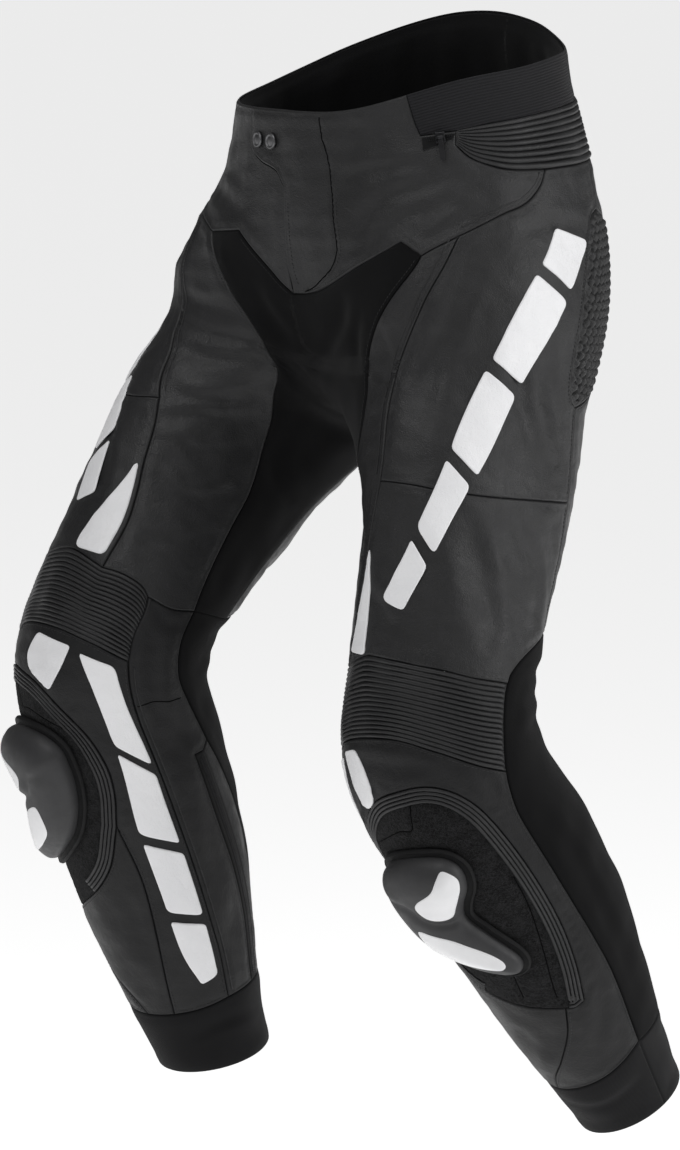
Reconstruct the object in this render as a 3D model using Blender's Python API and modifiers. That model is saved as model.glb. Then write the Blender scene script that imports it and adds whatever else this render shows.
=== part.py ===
"""Leather riding trousers, filled out in a short stride, as cut and sewn panels.

The whole garment hangs on one smooth form: rings round the pelvis and down each
leg, made into a coarse cage and subdivided. A point of the form is named by two
numbers, (a, v): "a" counts columns round the ring (0 centre front, 4 outer side,
8 centre back, 8 to 12 the inside of a leg) and "v" counts rings downwards from the
waist rim. Seams are short curves in (a, v); a panel is the cloth between its seams,
given its thickness along the form's own normals. Both legs share one cut.

Metres, +Z up, the wearer faces -Y and the wearer's left is +X. The origin is the
middle of the waist opening, at the height of its front edge.
"""
import math
import bpy
import bmesh
import numpy as np
from mathutils import Matrix, Vector
from mathutils.geometry import delaunay_2d_cdt

MM = 0.001

# ---- driving sizes (millimetres) -------------------------------------------
LEATHER = 1.5          # wall of the leather panels
STRETCH = 1.3          # wall of the stretch panels
LINING = 1.0           # wall of the waist lining
SEAM_GAP = 0.3         # between the edges of two panels
FLAP_LIFT = 2.7        # how far the fly flap stands over the right front
FACET = 31.0           # side of the panels' triangles
EDGE_STEP = 26.0       # spacing of points along a seam
LEVELS = 3             # subdivision of the form
COLS, HALF = 12, 8     # columns round a leg, and round half the pelvis

# pelvis rings: front z, back z, half width, front depth (centre), front depth
# (legs), back depth (legs), back depth (centre), squareness, forward tilt and
# forward shift with the thigh, and share of the lean
PELVIS = [
    # name        zf    zb     hw   dfc  dfl  dbl  dbc   n   tilt fore lean
    ("waist",       0,   72,  149, 123, 123, 118, 118, 2.1, 0.00,  0, 1.0),
    ("elastic",   -44,   18,  155, 124, 125, 127, 124, 2.1, 0.00,  0, 0.8),
    ("high_hip",  -88,  -38,  167, 122, 127, 146, 136, 2.2, 0.10,  8, 0.4),
    ("hip",      -132,  -98,  183, 115, 129, 166, 142, 2.2, 0.30, 24, 0.0),
    ("low_hip",  -174, -156,  193, 102, 130, 170, 132, 2.2, 0.60, 42, 0.0),
    ("crotch",   -214, -214,  188,  82, 126, 154, 106, 2.2, 0.85, 56, 0.0),
]
RIM_DIP = [0, -4, -3, -5, -11, -10, -12, -4, 0]      # rim below a plain slope, by column
LEAN = [0, 0, 8, 14, 11, 5, -4, -5, 0]               # rim higher on the standing leg
FOLLOW = [0, .55, .9, 1, 1, 1, .9, .55, 0]           # share of the thigh's swing, by column
CROTCH = [(62, -250), (6, -264), (-48, -244)]        # (y, z) from back to front

HIP = (86, 0, -185)
LEG = {  # +x is outwards
    "L": {"side": 1, "knee": (151, -92, -489), "hem": (181, 97, -814)},
    "R": {"side": -1, "knee": (107, -198.5, -430), "hem": (117.6, -99, -797.6)},
}
FACING = 16.0          # degrees that knees and feet turn outwards
BEND = 0.22            # share of each bone that the knee's round takes

LEG_RINGS = [
    # name      along  half-w half-d  out  fore  n      (along: 1 knee, 2 hem)
    ("thigh1",  0.40,   67,   104,   26,   12, 2.10),
    ("thigh2",  0.56,   67,    97,   22,   12, 2.05),
    ("thigh3",  0.72,   69,    89,   18,   14, 2.0),
    ("thigh4",  0.86,   75,    82,   12,   15, 2.0),
    ("knee1",   0.95,   80,    79,    8,   21, 2.0),
    ("knee2",   1.03,   82,    80,    7,   29, 2.0),
    ("knee3",   1.12,   81,    81,    8,   33, 2.0),
    ("calf1",   1.24,   81,    81,   12,   26, 2.0),
    ("calf2",   1.40,   78,    79,   13,   21, 2.0),
    ("calf3",   1.56,   72,    76,   12,   18, 2.0),
    ("calf4",   1.72,   63,    67,    9,   17, 2.0),
    ("calf5",   1.86,   53,    56,    5,   14, 2.0),
    ("hem",     2.02,   45,    48,    1,    8, 2.0),
]
HEM_V = len(PELVIS) + len(LEG_RINGS) - 1             # 18
CROTCH_V = len(PELVIS) - 1                           # 5
KNEE_EASE = {"L": -0.2, "R": 0.2}                    # how the knee's panels sit on each bend

# ---- seams, in (column, ring) ----------------------------------------------
# A seam that the raised thigh drags has a row of its own for each leg.
SEAMS = {
    "rim_front":  [(0, 0), (1.0, 0), (2.03, 0)],
    "rim_back":   [(2.03, 0), (4, 0), (6, 0), (8, 0)],
    "centre_top": [(0, 0), (0, 1.45)],
    "centre_low": [(0, 1.45), (0, 3.6)],
    "centre_cr":  [(0, 3.6), (0, 5)],
    "crotch":     [(0, 5), (-1, 5), (-2, 5), (-3, 5), (-4, 5)],
    "centre_back": [(8, 1.92), (8, 3.4), (8, 5)],
    "elastic_end": [(2.03, 0), (2.12, .45), (2.22, .80)],
    "elastic_zip": [(2.22, .80), (2.77, .87)],
    "elastic_low": [(2.77, .87), (3.82, .91), (5.5, .95), (8, 1.0)],
    "pleat_end":  [(2.77, .87), (2.75, 1.10)],
    "pleat_yoke": [(2.75, 1.10), (2.99, 1.38), (3.37, 1.59), (3.73, 1.70), (4.26, 1.78)],
    "pleat_side": [(4.26, 1.78), (5.0, 1.83), (5.6, 1.86)],
    "pleat_seat": [(5.6, 1.86), (6.8, 1.9), (8, 1.92)],
    "vee":        {"L": [(0, 3.6), (.47, 3.45), (1.14, 2.99), (1.85, 2.56)],
                   "R": [(0, 3.6), (.16, 3.41), (.37, 3.09), (.82, 2.54)]},
    "wing":       {"L": [(1.85, 2.56), (2.15, 2.84)], "R": [(.82, 2.54), (1.38, 2.78)]},
    "yoke_strip": {"L": [(2.15, 2.84), (2.36, 2.72), (2.72, 2.56)],
                   "R": [(1.38, 2.78), (1.6, 2.68), (2.0, 2.55)]},
    "yoke_outer": {"L": [(2.72, 2.56), (3.40, 2.32), (3.83, 2.21), (4.13, 2.0), (4.26, 1.78)],
                   "R": [(2.0, 2.55), (2.9, 2.38), (3.7, 2.22), (4.1, 2.0), (4.26, 1.78)]},
    "gusset":     {"L": [(2.15, 2.84), (2.05, 3.04), (1.72, 3.58), (1.48, 4.08), (1.3, 4.58), (1.15, 5.0),
                         (.95, 5.4), (.4, 5.85), (-.7, 6.3), (-1.7, 6.75), (-2.2, 7.3), (-2.42, 8.0),
                         (-2.55, 8.8), (-2.6, 9.45)],
                   "R": [(1.38, 2.78), (1.2, 3.24), (.95, 3.81), (.75, 4.35), (.48, 4.83), (.17, 5.15),
                         (-.56, 5.46), (-1.52, 5.93), (-2.03, 6.45), (-2.27, 6.97), (-2.37, 7.54),
                         (-2.46, 8.12), (-2.54, 8.84), (-2.6, 9.45)]},
    "strip_up":   {"L": [(2.72, 2.56), (2.53, 2.96), (2.22, 3.65), (1.95, 4.53), (1.69, 5.11), (1.34, 5.67),
                         (.93, 6.43)],
                   "R": [(2.0, 2.55), (2.02, 3.2), (1.95, 4.0), (1.78, 4.66), (1.46, 5.33), (.80, 5.9),
                         (.1, 6.55)]},
    "strip_low":  {"L": [(.93, 6.43), (.62, 7.0), (.28, 7.7), (-.12, 8.5), (-.45, 9.25)],
                   "R": [(.1, 6.55), (-.13, 6.94), (-.33, 7.55), (-.5, 8.0), (-.58, 8.5), (-.45, 9.25)]},
    "cross":      {"L": [(.93, 6.43), (1.74, 6.5), (2.43, 6.55), (3.42, 6.5), (5.2, 6.22)],
                   "R": [(.1, 6.55), (.83, 6.68), (2.0, 6.62), (3.42, 6.5), (5.2, 6.22)]},
    "hip_front":  [(5.5, 2.5), (5.17, 2.6), (5.0, 2.95), (4.84, 3.56), (4.78, 4.08), (4.76, 4.55),
                   (4.82, 4.98), (5.02, 5.12)],
    "hip_back":   [(5.5, 2.5), (6.1, 2.8), (6.4, 3.4), (6.35, 4.0), (6.05, 4.55), (5.61, 4.93), (5.02, 5.12)],
    "side_top":   [(5.6, 1.86), (5.5, 2.5)],
    "side_mid":   [(5.02, 5.12), (5.2, 6.22)],
    "side_low":   [(5.2, 6.22), (5.3, 7.3), (5.27, 8.49)],
    "calf_top_o": [(5.27, 8.49), (4.23, 9.12), (3.75, 9.55), (3.62, 9.82)],
    "calf_top_b": [(5.27, 8.49), (6.3, 8.45), (7.2, 8.8), (8.2, 9.3)],
    "calf_top_g": [(-3.8, 9.3), (-2.6, 9.45)],
    "gusset_back": [(-4, 5), (-3.95, 5.6), (-3.8, 6.5), (-3.75, 7.5), (-3.8, 8.5), (-3.8, 9.3)],
    "knee_top_o": [(-.45, 9.25), (.3, 9.12), (.8, 9.15), (2.08, 9.42), (3.0, 9.68), (3.62, 9.82)],
    "knee_top_i": [(-1.54, 9.5), (-1.3, 9.32), (-.9, 9.24), (-.45, 9.25)],
    "knee_in":    [(-1.54, 9.5), (-1.57, 9.85), (-1.52, 10.45), (-1.54, 11.05)],
    "knee_out":   [(3.62, 9.82), (3.52, 10.2), (3.38, 11.2), (3.27, 11.75)],
    "knee_low":   [(-1.54, 11.05), (-.79, 10.78), (.1, 10.6), (1.1, 10.65), (1.98, 11.0), (2.79, 11.48),
                   (3.27, 11.75)],
    "strip_end":  [(-1.54, 9.5), (-2.1, 9.6), (-2.6, 9.45)],
    "calf_in_up": [(-2.6, 9.45), (-2.58, 10.4), (-2.72, 11.4), (-2.96, 12.1), (-3.25, 13.0)],
    "calf_in_low": [(-3.25, 13.0), (-3.6, 13.7), (-4.0, 14.6), (-4.3, 15.6), (-4.4, 16.92)],
    "calf_out":   [(3.27, 11.75), (3.20, 12.08), (3.10, 12.55), (3.08, 13.2), (3.11, 14.0), (3.2, 14.7),
                   (3.31, 15.5), (3.33, 16.75)],
    "rear_top":   [(-3.25, 13.0), (-3.05, 13.15)],
    "zip_top":    [(-3.05, 13.15), (-2.8, 13.15)],
    "zip_front":  [(-2.8, 13.15), (-3.0, 14.28), (-3.24, 15.11), (-3.44, 15.94), (-3.44, 16.93)],
    "zip_back":   [(-3.05, 13.15), (-3.32, 14.28), (-3.58, 15.11), (-3.84, 15.94), (-3.84, 16.93)],
    "medial":     [(-1.54, 11.05), (-1.64, 11.65), (-1.74, 12.2), (-1.92, 13.18), (-2.07, 14.23),
                   (-2.26, 15.39), (-2.4, 16.2), (-2.4, 16.95)],
    "pad_top":    [(-.78, 13.9), (-.93, 13.4), (-.9, 12.95), (-.62, 12.45), (0, 11.95), (.5, 11.68), (1.06, 11.57),
                   (1.6, 11.56), (2.05, 11.72), (2.4, 12.05), (2.58, 12.5), (2.67, 13.24), (2.68, 14.18),
                   (2.58, 14.9), (2.4, 15.5)],
    "pad_end":    [(2.4, 15.5), (2.15, 15.53), (1.95, 15.48)],
    "pad_low":    [(1.95, 15.48), (1.4, 15.33), (.95, 15.2), (.17, 14.9), (-.4, 14.5), (-.78, 13.9)],
    "shin_out":   [(1.95, 15.48), (1.66, 15.94), (1.07, 16.42), (.5, 16.75), (.2, 17.03)],
    "shin_in":    [(-.78, 13.9), (-1.0, 14.8), (-.95, 15.8), (-.7, 17.02)],
    "cuff_1":     [(3.33, 16.75), (2.53, 16.9), (1.85, 16.98), (1.05, 17.02), (.2, 17.03)],
    "cuff_2":     [(.2, 17.03), (-.7, 17.02)],
    "cuff_3":     [(-.7, 17.02), (-1.5, 17.0), (-2.4, 16.95)],
    "cuff_4":     [(-2.4, 16.95), (-3.44, 16.93)],
    "cuff_5":     [(-3.44, 16.93), (-3.84, 16.93)],
    "cuff_6":     [(-3.84, 16.93), (-4.4, 16.92)],
    "cuff_7":     [(-4.4, 16.92), (-6, 16.88), (-7.5, 16.8), (-8.67, 16.75)],
    "hem":        [(3.33, 18), (-2.67, 18), (-8.67, 18)],
    "cuff_seam":  [(3.33, 16.75), (3.33, 18)],
}
# the free edge of the fly flap and its tab, from the rim down to the centre seam
FLAP_EDGE = [(0, 0), (-.84, 0), (-.82, .3), (-.74, .8), (-.5, 1.02), (-.17, 1.16), (0, 1.45)]
FIXED_STEPS = {"elastic_low": 8, "pleat_yoke": 3, "pleat_side": 2, "pleat_seat": 3,
               "knee_top_o": 5, "knee_top_i": 2, "knee_low": 7}

# ---- colours (linear) and finishes -----------------------------------------
LOOKS = {  # colour, roughness, metallic
    "leather": ((.040, .040, .042, 1), .42, 0), "stretch": ((.012, .012, .013, 1), .85, 0),
    "elastic": ((.020, .020, .023, 1), .80, 0), "lining": ((.006, .006, .007, 1), .80, 0),
    "white": ((.78, .78, .80, 1), .38, 0), "velcro": ((.016, .016, .017, 1), .95, 0),
    "plastic": ((.030, .030, .031, 1), .45, 0), "metal": ((.42, .42, .43, 1), .30, 1),
    "tape": ((.010, .010, .011, 1), .80, 0),
}

for old in list(bpy.data.objects):
    bpy.data.objects.remove(old, do_unlink=True)
GARMENT = bpy.data.collections.new("riding_trousers")
bpy.context.scene.collection.children.link(GARMENT)


# ---- the form ---------------------------------------------------------------
def unit(v):
    v = np.asarray(v, float)
    return v / np.linalg.norm(v)


def power(c, n):
    return math.copysign(abs(c) ** (2 / n), c)


def smooth(x):
    x = min(1.0, max(0.0, x))
    return x * x * (3 - 2 * x)


def swing(leg):
    d = np.array(LEG[leg]["knee"], float) - np.array(HIP, float)
    return math.atan2(-d[1], -d[2])


def pelvis_point(row, col, leg):
    name, zf, zb, hw, dfc, dfl, dbl, dbc, n, tilt, fore, lean = PELVIS[row]
    grow = 3 / (2 + math.cos(math.radians(22.5)))    # the cage stands outside its surface
    phi = math.radians(22.5 * col)
    c, s = math.cos(phi), math.sin(phi)
    part = min(1, s * 1.7)
    depth = dfc + (dfl - dfc) * part if c >= 0 else dbc + (dbl - dbc) * part
    x = hw * power(s, n) * grow if 0 < col < HALF else 0.0
    y = (-1 if c >= 0 else 1) * depth * abs(power(c, n)) * grow
    z = zf + (zb - zf) * (1 - c) / 2 + LEG[leg]["side"] * LEAN[col] * lean + (RIM_DIP[col] if row == 0 else 0)
    turn, mid = swing(leg) * tilt * FOLLOW[col], (zf + zb) / 2
    ct, st = math.cos(turn), math.sin(turn)
    y, z = y * ct + (z - mid) * st, mid - y * st + (z - mid) * ct
    y -= fore * math.sin(swing(leg)) / math.sin(math.radians(40)) * FOLLOW[col]
    return np.array([x * LEG[leg]["side"], y, z])


def leg_ring(leg, ring):
    """Centre, outward axis, forward axis and sizes of one ring across the leg."""
    name, t, hw, hd, out, fore, n = ring
    side = LEG[leg]["side"]
    flip = np.array([side, 1, 1])
    hip, knee, hem = (np.array(p, float) * flip for p in (HIP, LEG[leg]["knee"], LEG[leg]["hem"]))
    c = hip + (knee - hip) * t if t < 1 else knee + (hem - knee) * (t - 1)
    if abs(t - 1) < BEND:
        p0, p2, q = hip + (knee - hip) * (1 - BEND), knee + (hem - knee) * BEND, (t - 1 + BEND) / (2 * BEND)
        c = (1 - q) ** 2 * p0 + 2 * q * (1 - q) * knee + q * q * p2
    k = smooth((t - (1 - 1.6 * BEND)) / (3.2 * BEND))
    run = unit(unit(knee - hip) * (1 - k) + unit(hem - knee) * k)
    h = smooth((t + 0.35) / 0.80)
    run = unit(np.array([0, 0, -1.0]) * (1 - h) + run * h)
    turn = math.radians(FACING) * side * min(1, t / 0.9)
    front = np.array([math.sin(turn), -math.cos(turn), 0])
    e1 = unit(np.cross(front, run))
    e1 = e1 if e1[0] * side > 0 else -e1
    e2 = unit(np.cross(run, e1))
    e2 = e2 if e2 @ front > 0 else -e2
    return c + e1 * out + e2 * fore, e1, e2, hw, hd, n


def make_form():
    """The cage as a mesh, subdivided; returns (place, normal) grids for each leg."""
    bm = bmesh.new()
    uv = bm.loops.layers.uv.new("av")
    at = {}
    grow = 3 / (2 + math.cos(math.radians(30)))
    for leg in "LR":
        for row in range(len(PELVIS)):
            for col in range(HALF + 1):
                if leg == "R" and col in (0, HALF):
                    at["R", col, row] = at["L", col, row]
                else:
                    at[leg, col, row] = bm.verts.new(pelvis_point(row, col, leg) * MM)
        for i, (y, z) in enumerate(CROTCH):
            key = (HALF + 1 + i, CROTCH_V)
            at[(leg,) + key] = at[("L",) + key] if leg == "R" else bm.verts.new(Vector((0, y, z)) * MM)
        for i, ring in enumerate(LEG_RINGS):
            c, e1, e2, hw, hd, n = leg_ring(leg, ring)
            for col in range(COLS):
                th = math.radians(30 * col - 30)
                p = c + e1 * hw * grow * power(math.sin(th), n) + e2 * hd * grow * power(math.cos(th), n)
                at[leg, col, len(PELVIS) + i] = bm.verts.new(p * MM)
    for leg in "LR":
        for row in range(HEM_V):
            for col in range(HALF if row < CROTCH_V else COLS):
                ring = [(col, row), (col, row + 1), (col + 1, row + 1), (col + 1, row)]
                ring = ring if leg == "L" else ring[::-1]
                f = bm.faces.new([at[leg, a % COLS if v >= CROTCH_V else a, v] for a, v in ring])
                for loop, (a, v) in zip(f.loops, ring):
                    loop[uv].uv = (a + (0 if leg == "L" else 20), v)
    mesh = bpy.data.meshes.new("form")
    bm.to_mesh(mesh)
    bm.free()
    form = bpy.data.objects.new("form", mesh)
    form.hide_render = True
    bpy.context.scene.collection.objects.link(form)
    sub = form.modifiers.new("round", "SUBSURF")
    sub.levels = sub.render_levels = LEVELS
    sub.uv_smooth = "NONE"
    bpy.context.view_layer.update()
    fine = form.evaluated_get(bpy.context.evaluated_depsgraph_get()).to_mesh()
    co = np.array([v.co[:] for v in fine.vertices]) / MM
    no = np.array([v.normal[:] for v in fine.vertices])
    m = 2 ** LEVELS
    grids = {leg: (np.full((HEM_V * m + 1, COLS * m, 3), np.nan), np.zeros((HEM_V * m + 1, COLS * m, 3)))
             for leg in "LR"}
    for loop, at_uv in zip(fine.loops, fine.uv_layers[0].uv):
        a, v = at_uv.vector
        leg, a = ("R", a - 20) if a > 15 else ("L", a)
        i, j = round(v * m), round(a * m) % (COLS * m)
        grids[leg][0][i, j] = co[loop.vertex_index]
        grids[leg][1][i, j] = no[loop.vertex_index]
    bpy.data.objects.remove(form, do_unlink=True)
    return grids


GRIDS = make_form()


def on_form(leg, a, v):
    """Place (mm) and normal of the form at column a, ring v."""
    m = 2 ** LEVELS
    if v < CROTCH_V - 1e-6 and (a < 0 or a > HALF):
        leg, a = "R" if leg == "L" else "L", -a if a < 0 else 2 * HALF - a
    i, j = min(max(v, 0), HEM_V) * m, a * m
    i0, j0 = min(int(i), HEM_V * m - 1), math.floor(j)
    if v >= CROTCH_V - 1e-6:
        i0 = max(i0, CROTCH_V * m)
    elif j0 >= HALF * m:
        j0 = HALF * m - 1
    fi, fj = i - i0, j - j0
    out = []
    for grid in GRIDS[leg]:
        j1, j2 = j0 % (COLS * m), (j0 + 1) % (COLS * m)
        out.append((1 - fi) * ((1 - fj) * grid[i0, j1] + fj * grid[i0, j2])
                   + fi * ((1 - fj) * grid[i0 + 1, j1] + fj * grid[i0 + 1, j2]))
    return out[0], unit(out[1])


# ---- seams -------------------------------------------------------------------
def eased(leg, a, v):
    return a, v + KNEE_EASE[leg] * math.exp(-((v - 10) / 2.2) ** 2) if v > CROTCH_V else v


def curve(points, count=24):
    """A smooth curve through a few points, as a dense line."""
    if len(points) == 2:
        return [tuple(np.array(points[0]) + (np.array(points[1]) - points[0]) * i / count) for i in range(count + 1)]
    p = [np.array(q, float) for q in points]
    p = [2 * p[0] - p[1]] + p + [2 * p[-1] - p[-2]]
    line = []
    for i in range(1, len(p) - 2):
        for k in range(count):
            t = k / count
            line.append(tuple(0.5 * (2 * p[i] + (p[i + 1] - p[i - 1]) * t
                                     + (2 * p[i - 1] - 5 * p[i] + 4 * p[i + 1] - p[i + 2]) * t * t
                                     + (3 * p[i] - p[i - 1] - 3 * p[i + 1] + p[i + 2]) * t ** 3)))
    return line + [tuple(p[-2])]


def spaced(leg, line, step, count=None):
    """Points evenly along a dense line, about `step` apart on the form."""
    place = np.array([on_form(leg, a, v)[0] for a, v in line])
    run = np.concatenate([[0], np.cumsum(np.linalg.norm(np.diff(place, axis=0), axis=1))])
    count = count or max(1, round(run[-1] / step))
    want = np.linspace(0, run[-1], count + 1)
    av = np.array(line)
    return [(float(np.interp(w, run, av[:, 0])), float(np.interp(w, run, av[:, 1]))) for w in want]


DONE = {}


def seam(leg, name):
    if (leg, name) not in DONE:
        pts = SEAMS[name]
        pts = pts[leg] if isinstance(pts, dict) else pts
        line = [eased(leg, a, v) for a, v in curve(pts)]
        count = FIXED_STEPS.get(name)
        DONE[leg, name] = spaced(leg, line, EDGE_STEP, count)
    return DONE[leg, name]


def outline(leg, names):
    """A closed outline from seams: '-name' runs backwards, 'name+12' is moved 12 columns."""
    loop = []
    for item in names:
        back, item = item.startswith("-"), item.lstrip("-")
        item, _, shift = item.partition("+")
        pts = [(a + float(shift or 0), v) for a, v in seam(leg, item)]
        pts = pts[::-1] if back else pts
        if loop and math.hypot(loop[-1][0] - pts[0][0], loop[-1][1] - pts[0][1]) > 1e-4:
            raise ValueError(f"{leg} {item}: seams do not meet, {loop[-1]} {pts[0]}")
        loop += pts if not loop else pts[1:]
    return loop[:-1]


# ---- panels ------------------------------------------------------------------
def flat_scale(v):
    """Rough width of a column at ring v, to space triangles evenly."""
    return 62 - 22 * smooth((v - 3.5) / 3) - 12 * smooth((v - 12) / 6)


def inside(x, y, poly):
    hit = False
    for (x1, y1), (x2, y2) in zip(poly, poly[1:] + poly[:1]):
        if (y1 > y) != (y2 > y) and x < (x2 - x1) * (y - y1) / (y2 - y1) + x1:
            hit = not hit
    return hit


def to_edge(x, y, poly):
    best = 1e9
    for (x1, y1), (x2, y2) in zip(poly, poly[1:] + poly[:1]):
        dx, dy = x2 - x1, y2 - y1
        t = min(1, max(0, ((x - x1) * dx + (y - y1) * dy) / (dx * dx + dy * dy or 1)))
        best = min(best, math.hypot(x - x1 - t * dx, y - y1 - t * dy))
    return best


def fill(loop, facet=FACET, extra=()):
    """Triangles over a closed outline: ((a, v) points, faces)."""
    mid = (min(a for a, v in loop) + max(a for a, v in loop)) / 2
    flat = lambda a, v: ((a - mid) * flat_scale(v), v * 46)
    poly = [flat(a, v) for a, v in loop]
    points, av = list(poly), list(loop)
    for a, v in extra:
        points.append(flat(a, v))
        av.append((a, v))
    x0, x1 = min(p[0] for p in poly), max(p[0] for p in poly)
    y0, y1 = min(p[1] for p in poly), max(p[1] for p in poly)
    rows = max(1, round((y1 - y0) / (facet * .87)))
    for r in range(1, rows):
        y = y0 + (y1 - y0) * r / rows
        cols = max(1, round((x1 - x0) / facet))
        for c in range(cols + 1):
            x = x0 + (x1 - x0) * (c + (0.5 if r % 2 else 0)) / cols
            if inside(x, y, poly) and to_edge(x, y, poly) > facet * .52 \
                    and all(math.hypot(x - px, y - py) > facet * .5 for px, py in points[len(poly):]):
                points.append((x, y))
                av.append((x / flat_scale(y / 46) + mid, y / 46))
    edges = [(i, (i + 1) % len(poly)) for i in range(len(poly))]
    _, _, faces, source, _, _ = delaunay_2d_cdt([Vector(p) for p in points], edges, [], 1, 1e-6)
    tris = [[source[i][0] for i in f] for f in faces]
    used = sorted({i for f in tris for i in f})
    new = {i: k for k, i in enumerate(used)}
    return [av[i] for i in used], [[new[i] for i in f] for f in tris]


def surface(leg, points, faces):
    """(places, normals, faces, (leg, a, v)) of a filled outline on the form."""
    got = [on_form(leg, a, v) for a, v in points]
    return (np.array([g[0] for g in got]), np.array([g[1] for g in got]), [list(f) for f in faces],
            [(leg, a, v) for a, v in points])


def joined(*sheets):
    """Sheets put together, points in the same place made one."""
    place, normal, names, faces, seen = [], [], [], [], {}
    for p, n, f, av in sheets:
        index = []
        for q, m, name in zip(p, n, av):
            key = tuple(np.round(q, 3))
            if key not in seen:
                seen[key] = len(place)
                place.append(q)
                normal.append(m)
                names.append(name)
            index.append(seen[key])
        faces += [[index[i] for i in face] for face in f]
    return np.array(place), np.array(normal), faces, names


def edge_loops(faces):
    count = {}
    for f in faces:
        for i in range(len(f)):
            e = (f[i], f[(i + 1) % len(f)])
            count[e] = count.get(e, 0) + 1
    return [(a, b) for a, b in count if (b, a) not in count]


def material(look):
    if look in bpy.data.materials:
        return bpy.data.materials[look]
    colour, rough, metal = LOOKS[look]
    mat = bpy.data.materials.new(look)
    mat.use_nodes = True
    bsdf = mat.node_tree.nodes["Principled BSDF"]
    bsdf.inputs["Base Color"].default_value = colour
    bsdf.inputs["Roughness"].default_value = rough
    bsdf.inputs["Metallic"].default_value = metal
    mat.diffuse_color = colour
    return mat


def add(name, mesh, look, matrix=None):
    obj = bpy.data.objects.new(name, mesh)
    GARMENT.objects.link(obj)
    mesh.materials.clear()
    mat = material(look).copy()
    mat.name = name + "_" + look
    mesh.materials.append(mat)
    if matrix is not None:
        obj.matrix_world = matrix
    return obj


def shell(name, sheet, wall, look, lift=0.0, inset=SEAM_GAP / 2):
    """Cloth: a sheet of the form, its edge drawn in, thickened along the normals.

    lift moves the outer face off the form, and wall is the thickness under it;
    either may be a function of (leg, a, v)."""
    place, normal, faces, names = sheet
    place = place.copy()
    for k, f in enumerate(faces):                    # turn every face outwards
        if np.cross(place[f[1]] - place[f[0]], place[f[2]] - place[f[0]]) @ normal[f].sum(axis=0) < 0:
            faces[k] = f[::-1]
    rim = edge_loops(faces)
    after = {a: b for a, b in rim}
    before = {b: a for a, b in rim}
    moved = place.copy()
    for i in after:                                  # mitred inset in the tangent plane
        n = normal[i]
        d1 = place[i] - place[before[i]]
        d2 = place[after[i]] - place[i]
        in1, in2 = unit(np.cross(n, d1)), unit(np.cross(n, d2))
        m = in1 + in2
        moved[i] = place[i] + m * inset / max(0.35, 1 + in1 @ in2)
    at = lambda f, k: f(*names[k]) if callable(f) else f
    top = [moved[i] + normal[i] * at(lift, i) for i in range(len(moved))]
    low = [top[i] - normal[i] * at(wall, i) for i in range(len(moved))]
    count = len(top)
    body = [tuple(f) for f in faces] + [tuple(i + count for i in f[::-1]) for f in faces]
    body += [(a, a + count, b + count, b) for a, b in rim]
    mesh = bpy.data.meshes.new(name)
    mesh.from_pydata([tuple(p * MM) for p in top + low], [], body)
    mesh.validate()
    obj = add(name, mesh, look)
    mesh.shade_smooth()
    mesh.set_sharp_from_angle(angle=math.radians(40))
    return obj


def frame_at(leg, a, v, lift, roll=0.0):
    """Matrix at a point of the form: x across, y down the garment, z off the cloth."""
    p, n = on_form(leg, a, v)
    q, _ = on_form(leg, a, v + 0.05)
    down = q - p
    down = unit(down - n * (down @ n))
    across = np.cross(down, n)
    m = Matrix([(across[i], down[i], n[i], (p[i] + n[i] * lift) * MM) for i in range(3)] + [(0, 0, 0, 1)])
    return m @ Matrix.Rotation(roll, 4, "Z")


# ---- the waist ---------------------------------------------------------------
def mirrored(points):
    return [(2 * HALF - a, v) for a, v in points]


def flap_line():
    rim = spaced("L", curve([(0, 0), (-.84, 0)]), EDGE_STEP, 2)
    edge = spaced("L", curve(FLAP_EDGE[1:]), 16.0)
    return rim, edge


def flap_lift(leg, a, v):
    a = -a if leg == "R" else a
    return FLAP_LIFT * min(1, max(0, (.62 - a) / .42)) * min(1, max(0, (3.5 - v) / .5))


YOKE = ["rim_front", "elastic_end", "elastic_zip", "pleat_end", "pleat_yoke", "-yoke_outer", "-yoke_strip",
        "-wing", "-vee"]


def make_yokes():
    right = outline("R", YOKE + ["-centre_low", "-centre_top"])
    shell("yoke_R", surface("R", *fill(right)), LEATHER, "leather")
    rim, edge = flap_line()
    left = outline("L", YOKE + ["-centre_low"])
    top = left.index(seam("L", "rim_front")[0])
    body = left[top:] + left[:top]
    body = body + [seam("L", "centre_low")[0]] if body[-1] != seam("L", "centre_low")[0] else body
    loop = body + edge[::-1][1:] + rim[::-1][1:-1]
    hold = [(.18, v) for v in (.35, .8, 1.3, 1.8, 2.3, 2.8)] + [(.62, v) for v in (.5, 1.1, 1.7, 2.3)]
    shell("yoke_L", surface("L", *fill(loop, extra=hold)), LEATHER, "leather", lift=flap_lift)


def make_band():
    loop = (seam("L", "rim_back") + mirrored(seam("R", "rim_back"))[::-1][1:]
            + mirrored(seam("R", "elastic_end"))[1:] + mirrored(seam("R", "elastic_zip"))[1:]
            + mirrored(seam("R", "elastic_low"))[1:] + seam("L", "elastic_low")[::-1][1:]
            + seam("L", "elastic_zip")[::-1][1:] + seam("L", "elastic_end")[::-1][1:-1])
    shell("waist_elastic", surface("L", *fill(loop)), STRETCH, "elastic")


def make_lining():
    """A tube inside the waist, closed round the back."""
    cols, rows = 26, (.10, .85, 1.65)
    points, faces = [], []
    for v in rows:
        points += [(-HALF + 2 * HALF * c / cols, v) for c in range(cols)]
    for r in range(len(rows) - 1):
        for c in range(cols):
            k, n = r * cols + c, r * cols + (c + 1) % cols
            faces += [[k, n, n + cols], [k, n + cols, k + cols]]
    shell("waist_lining", surface("L", points, faces), LINING, "lining", lift=-4.8)


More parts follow.
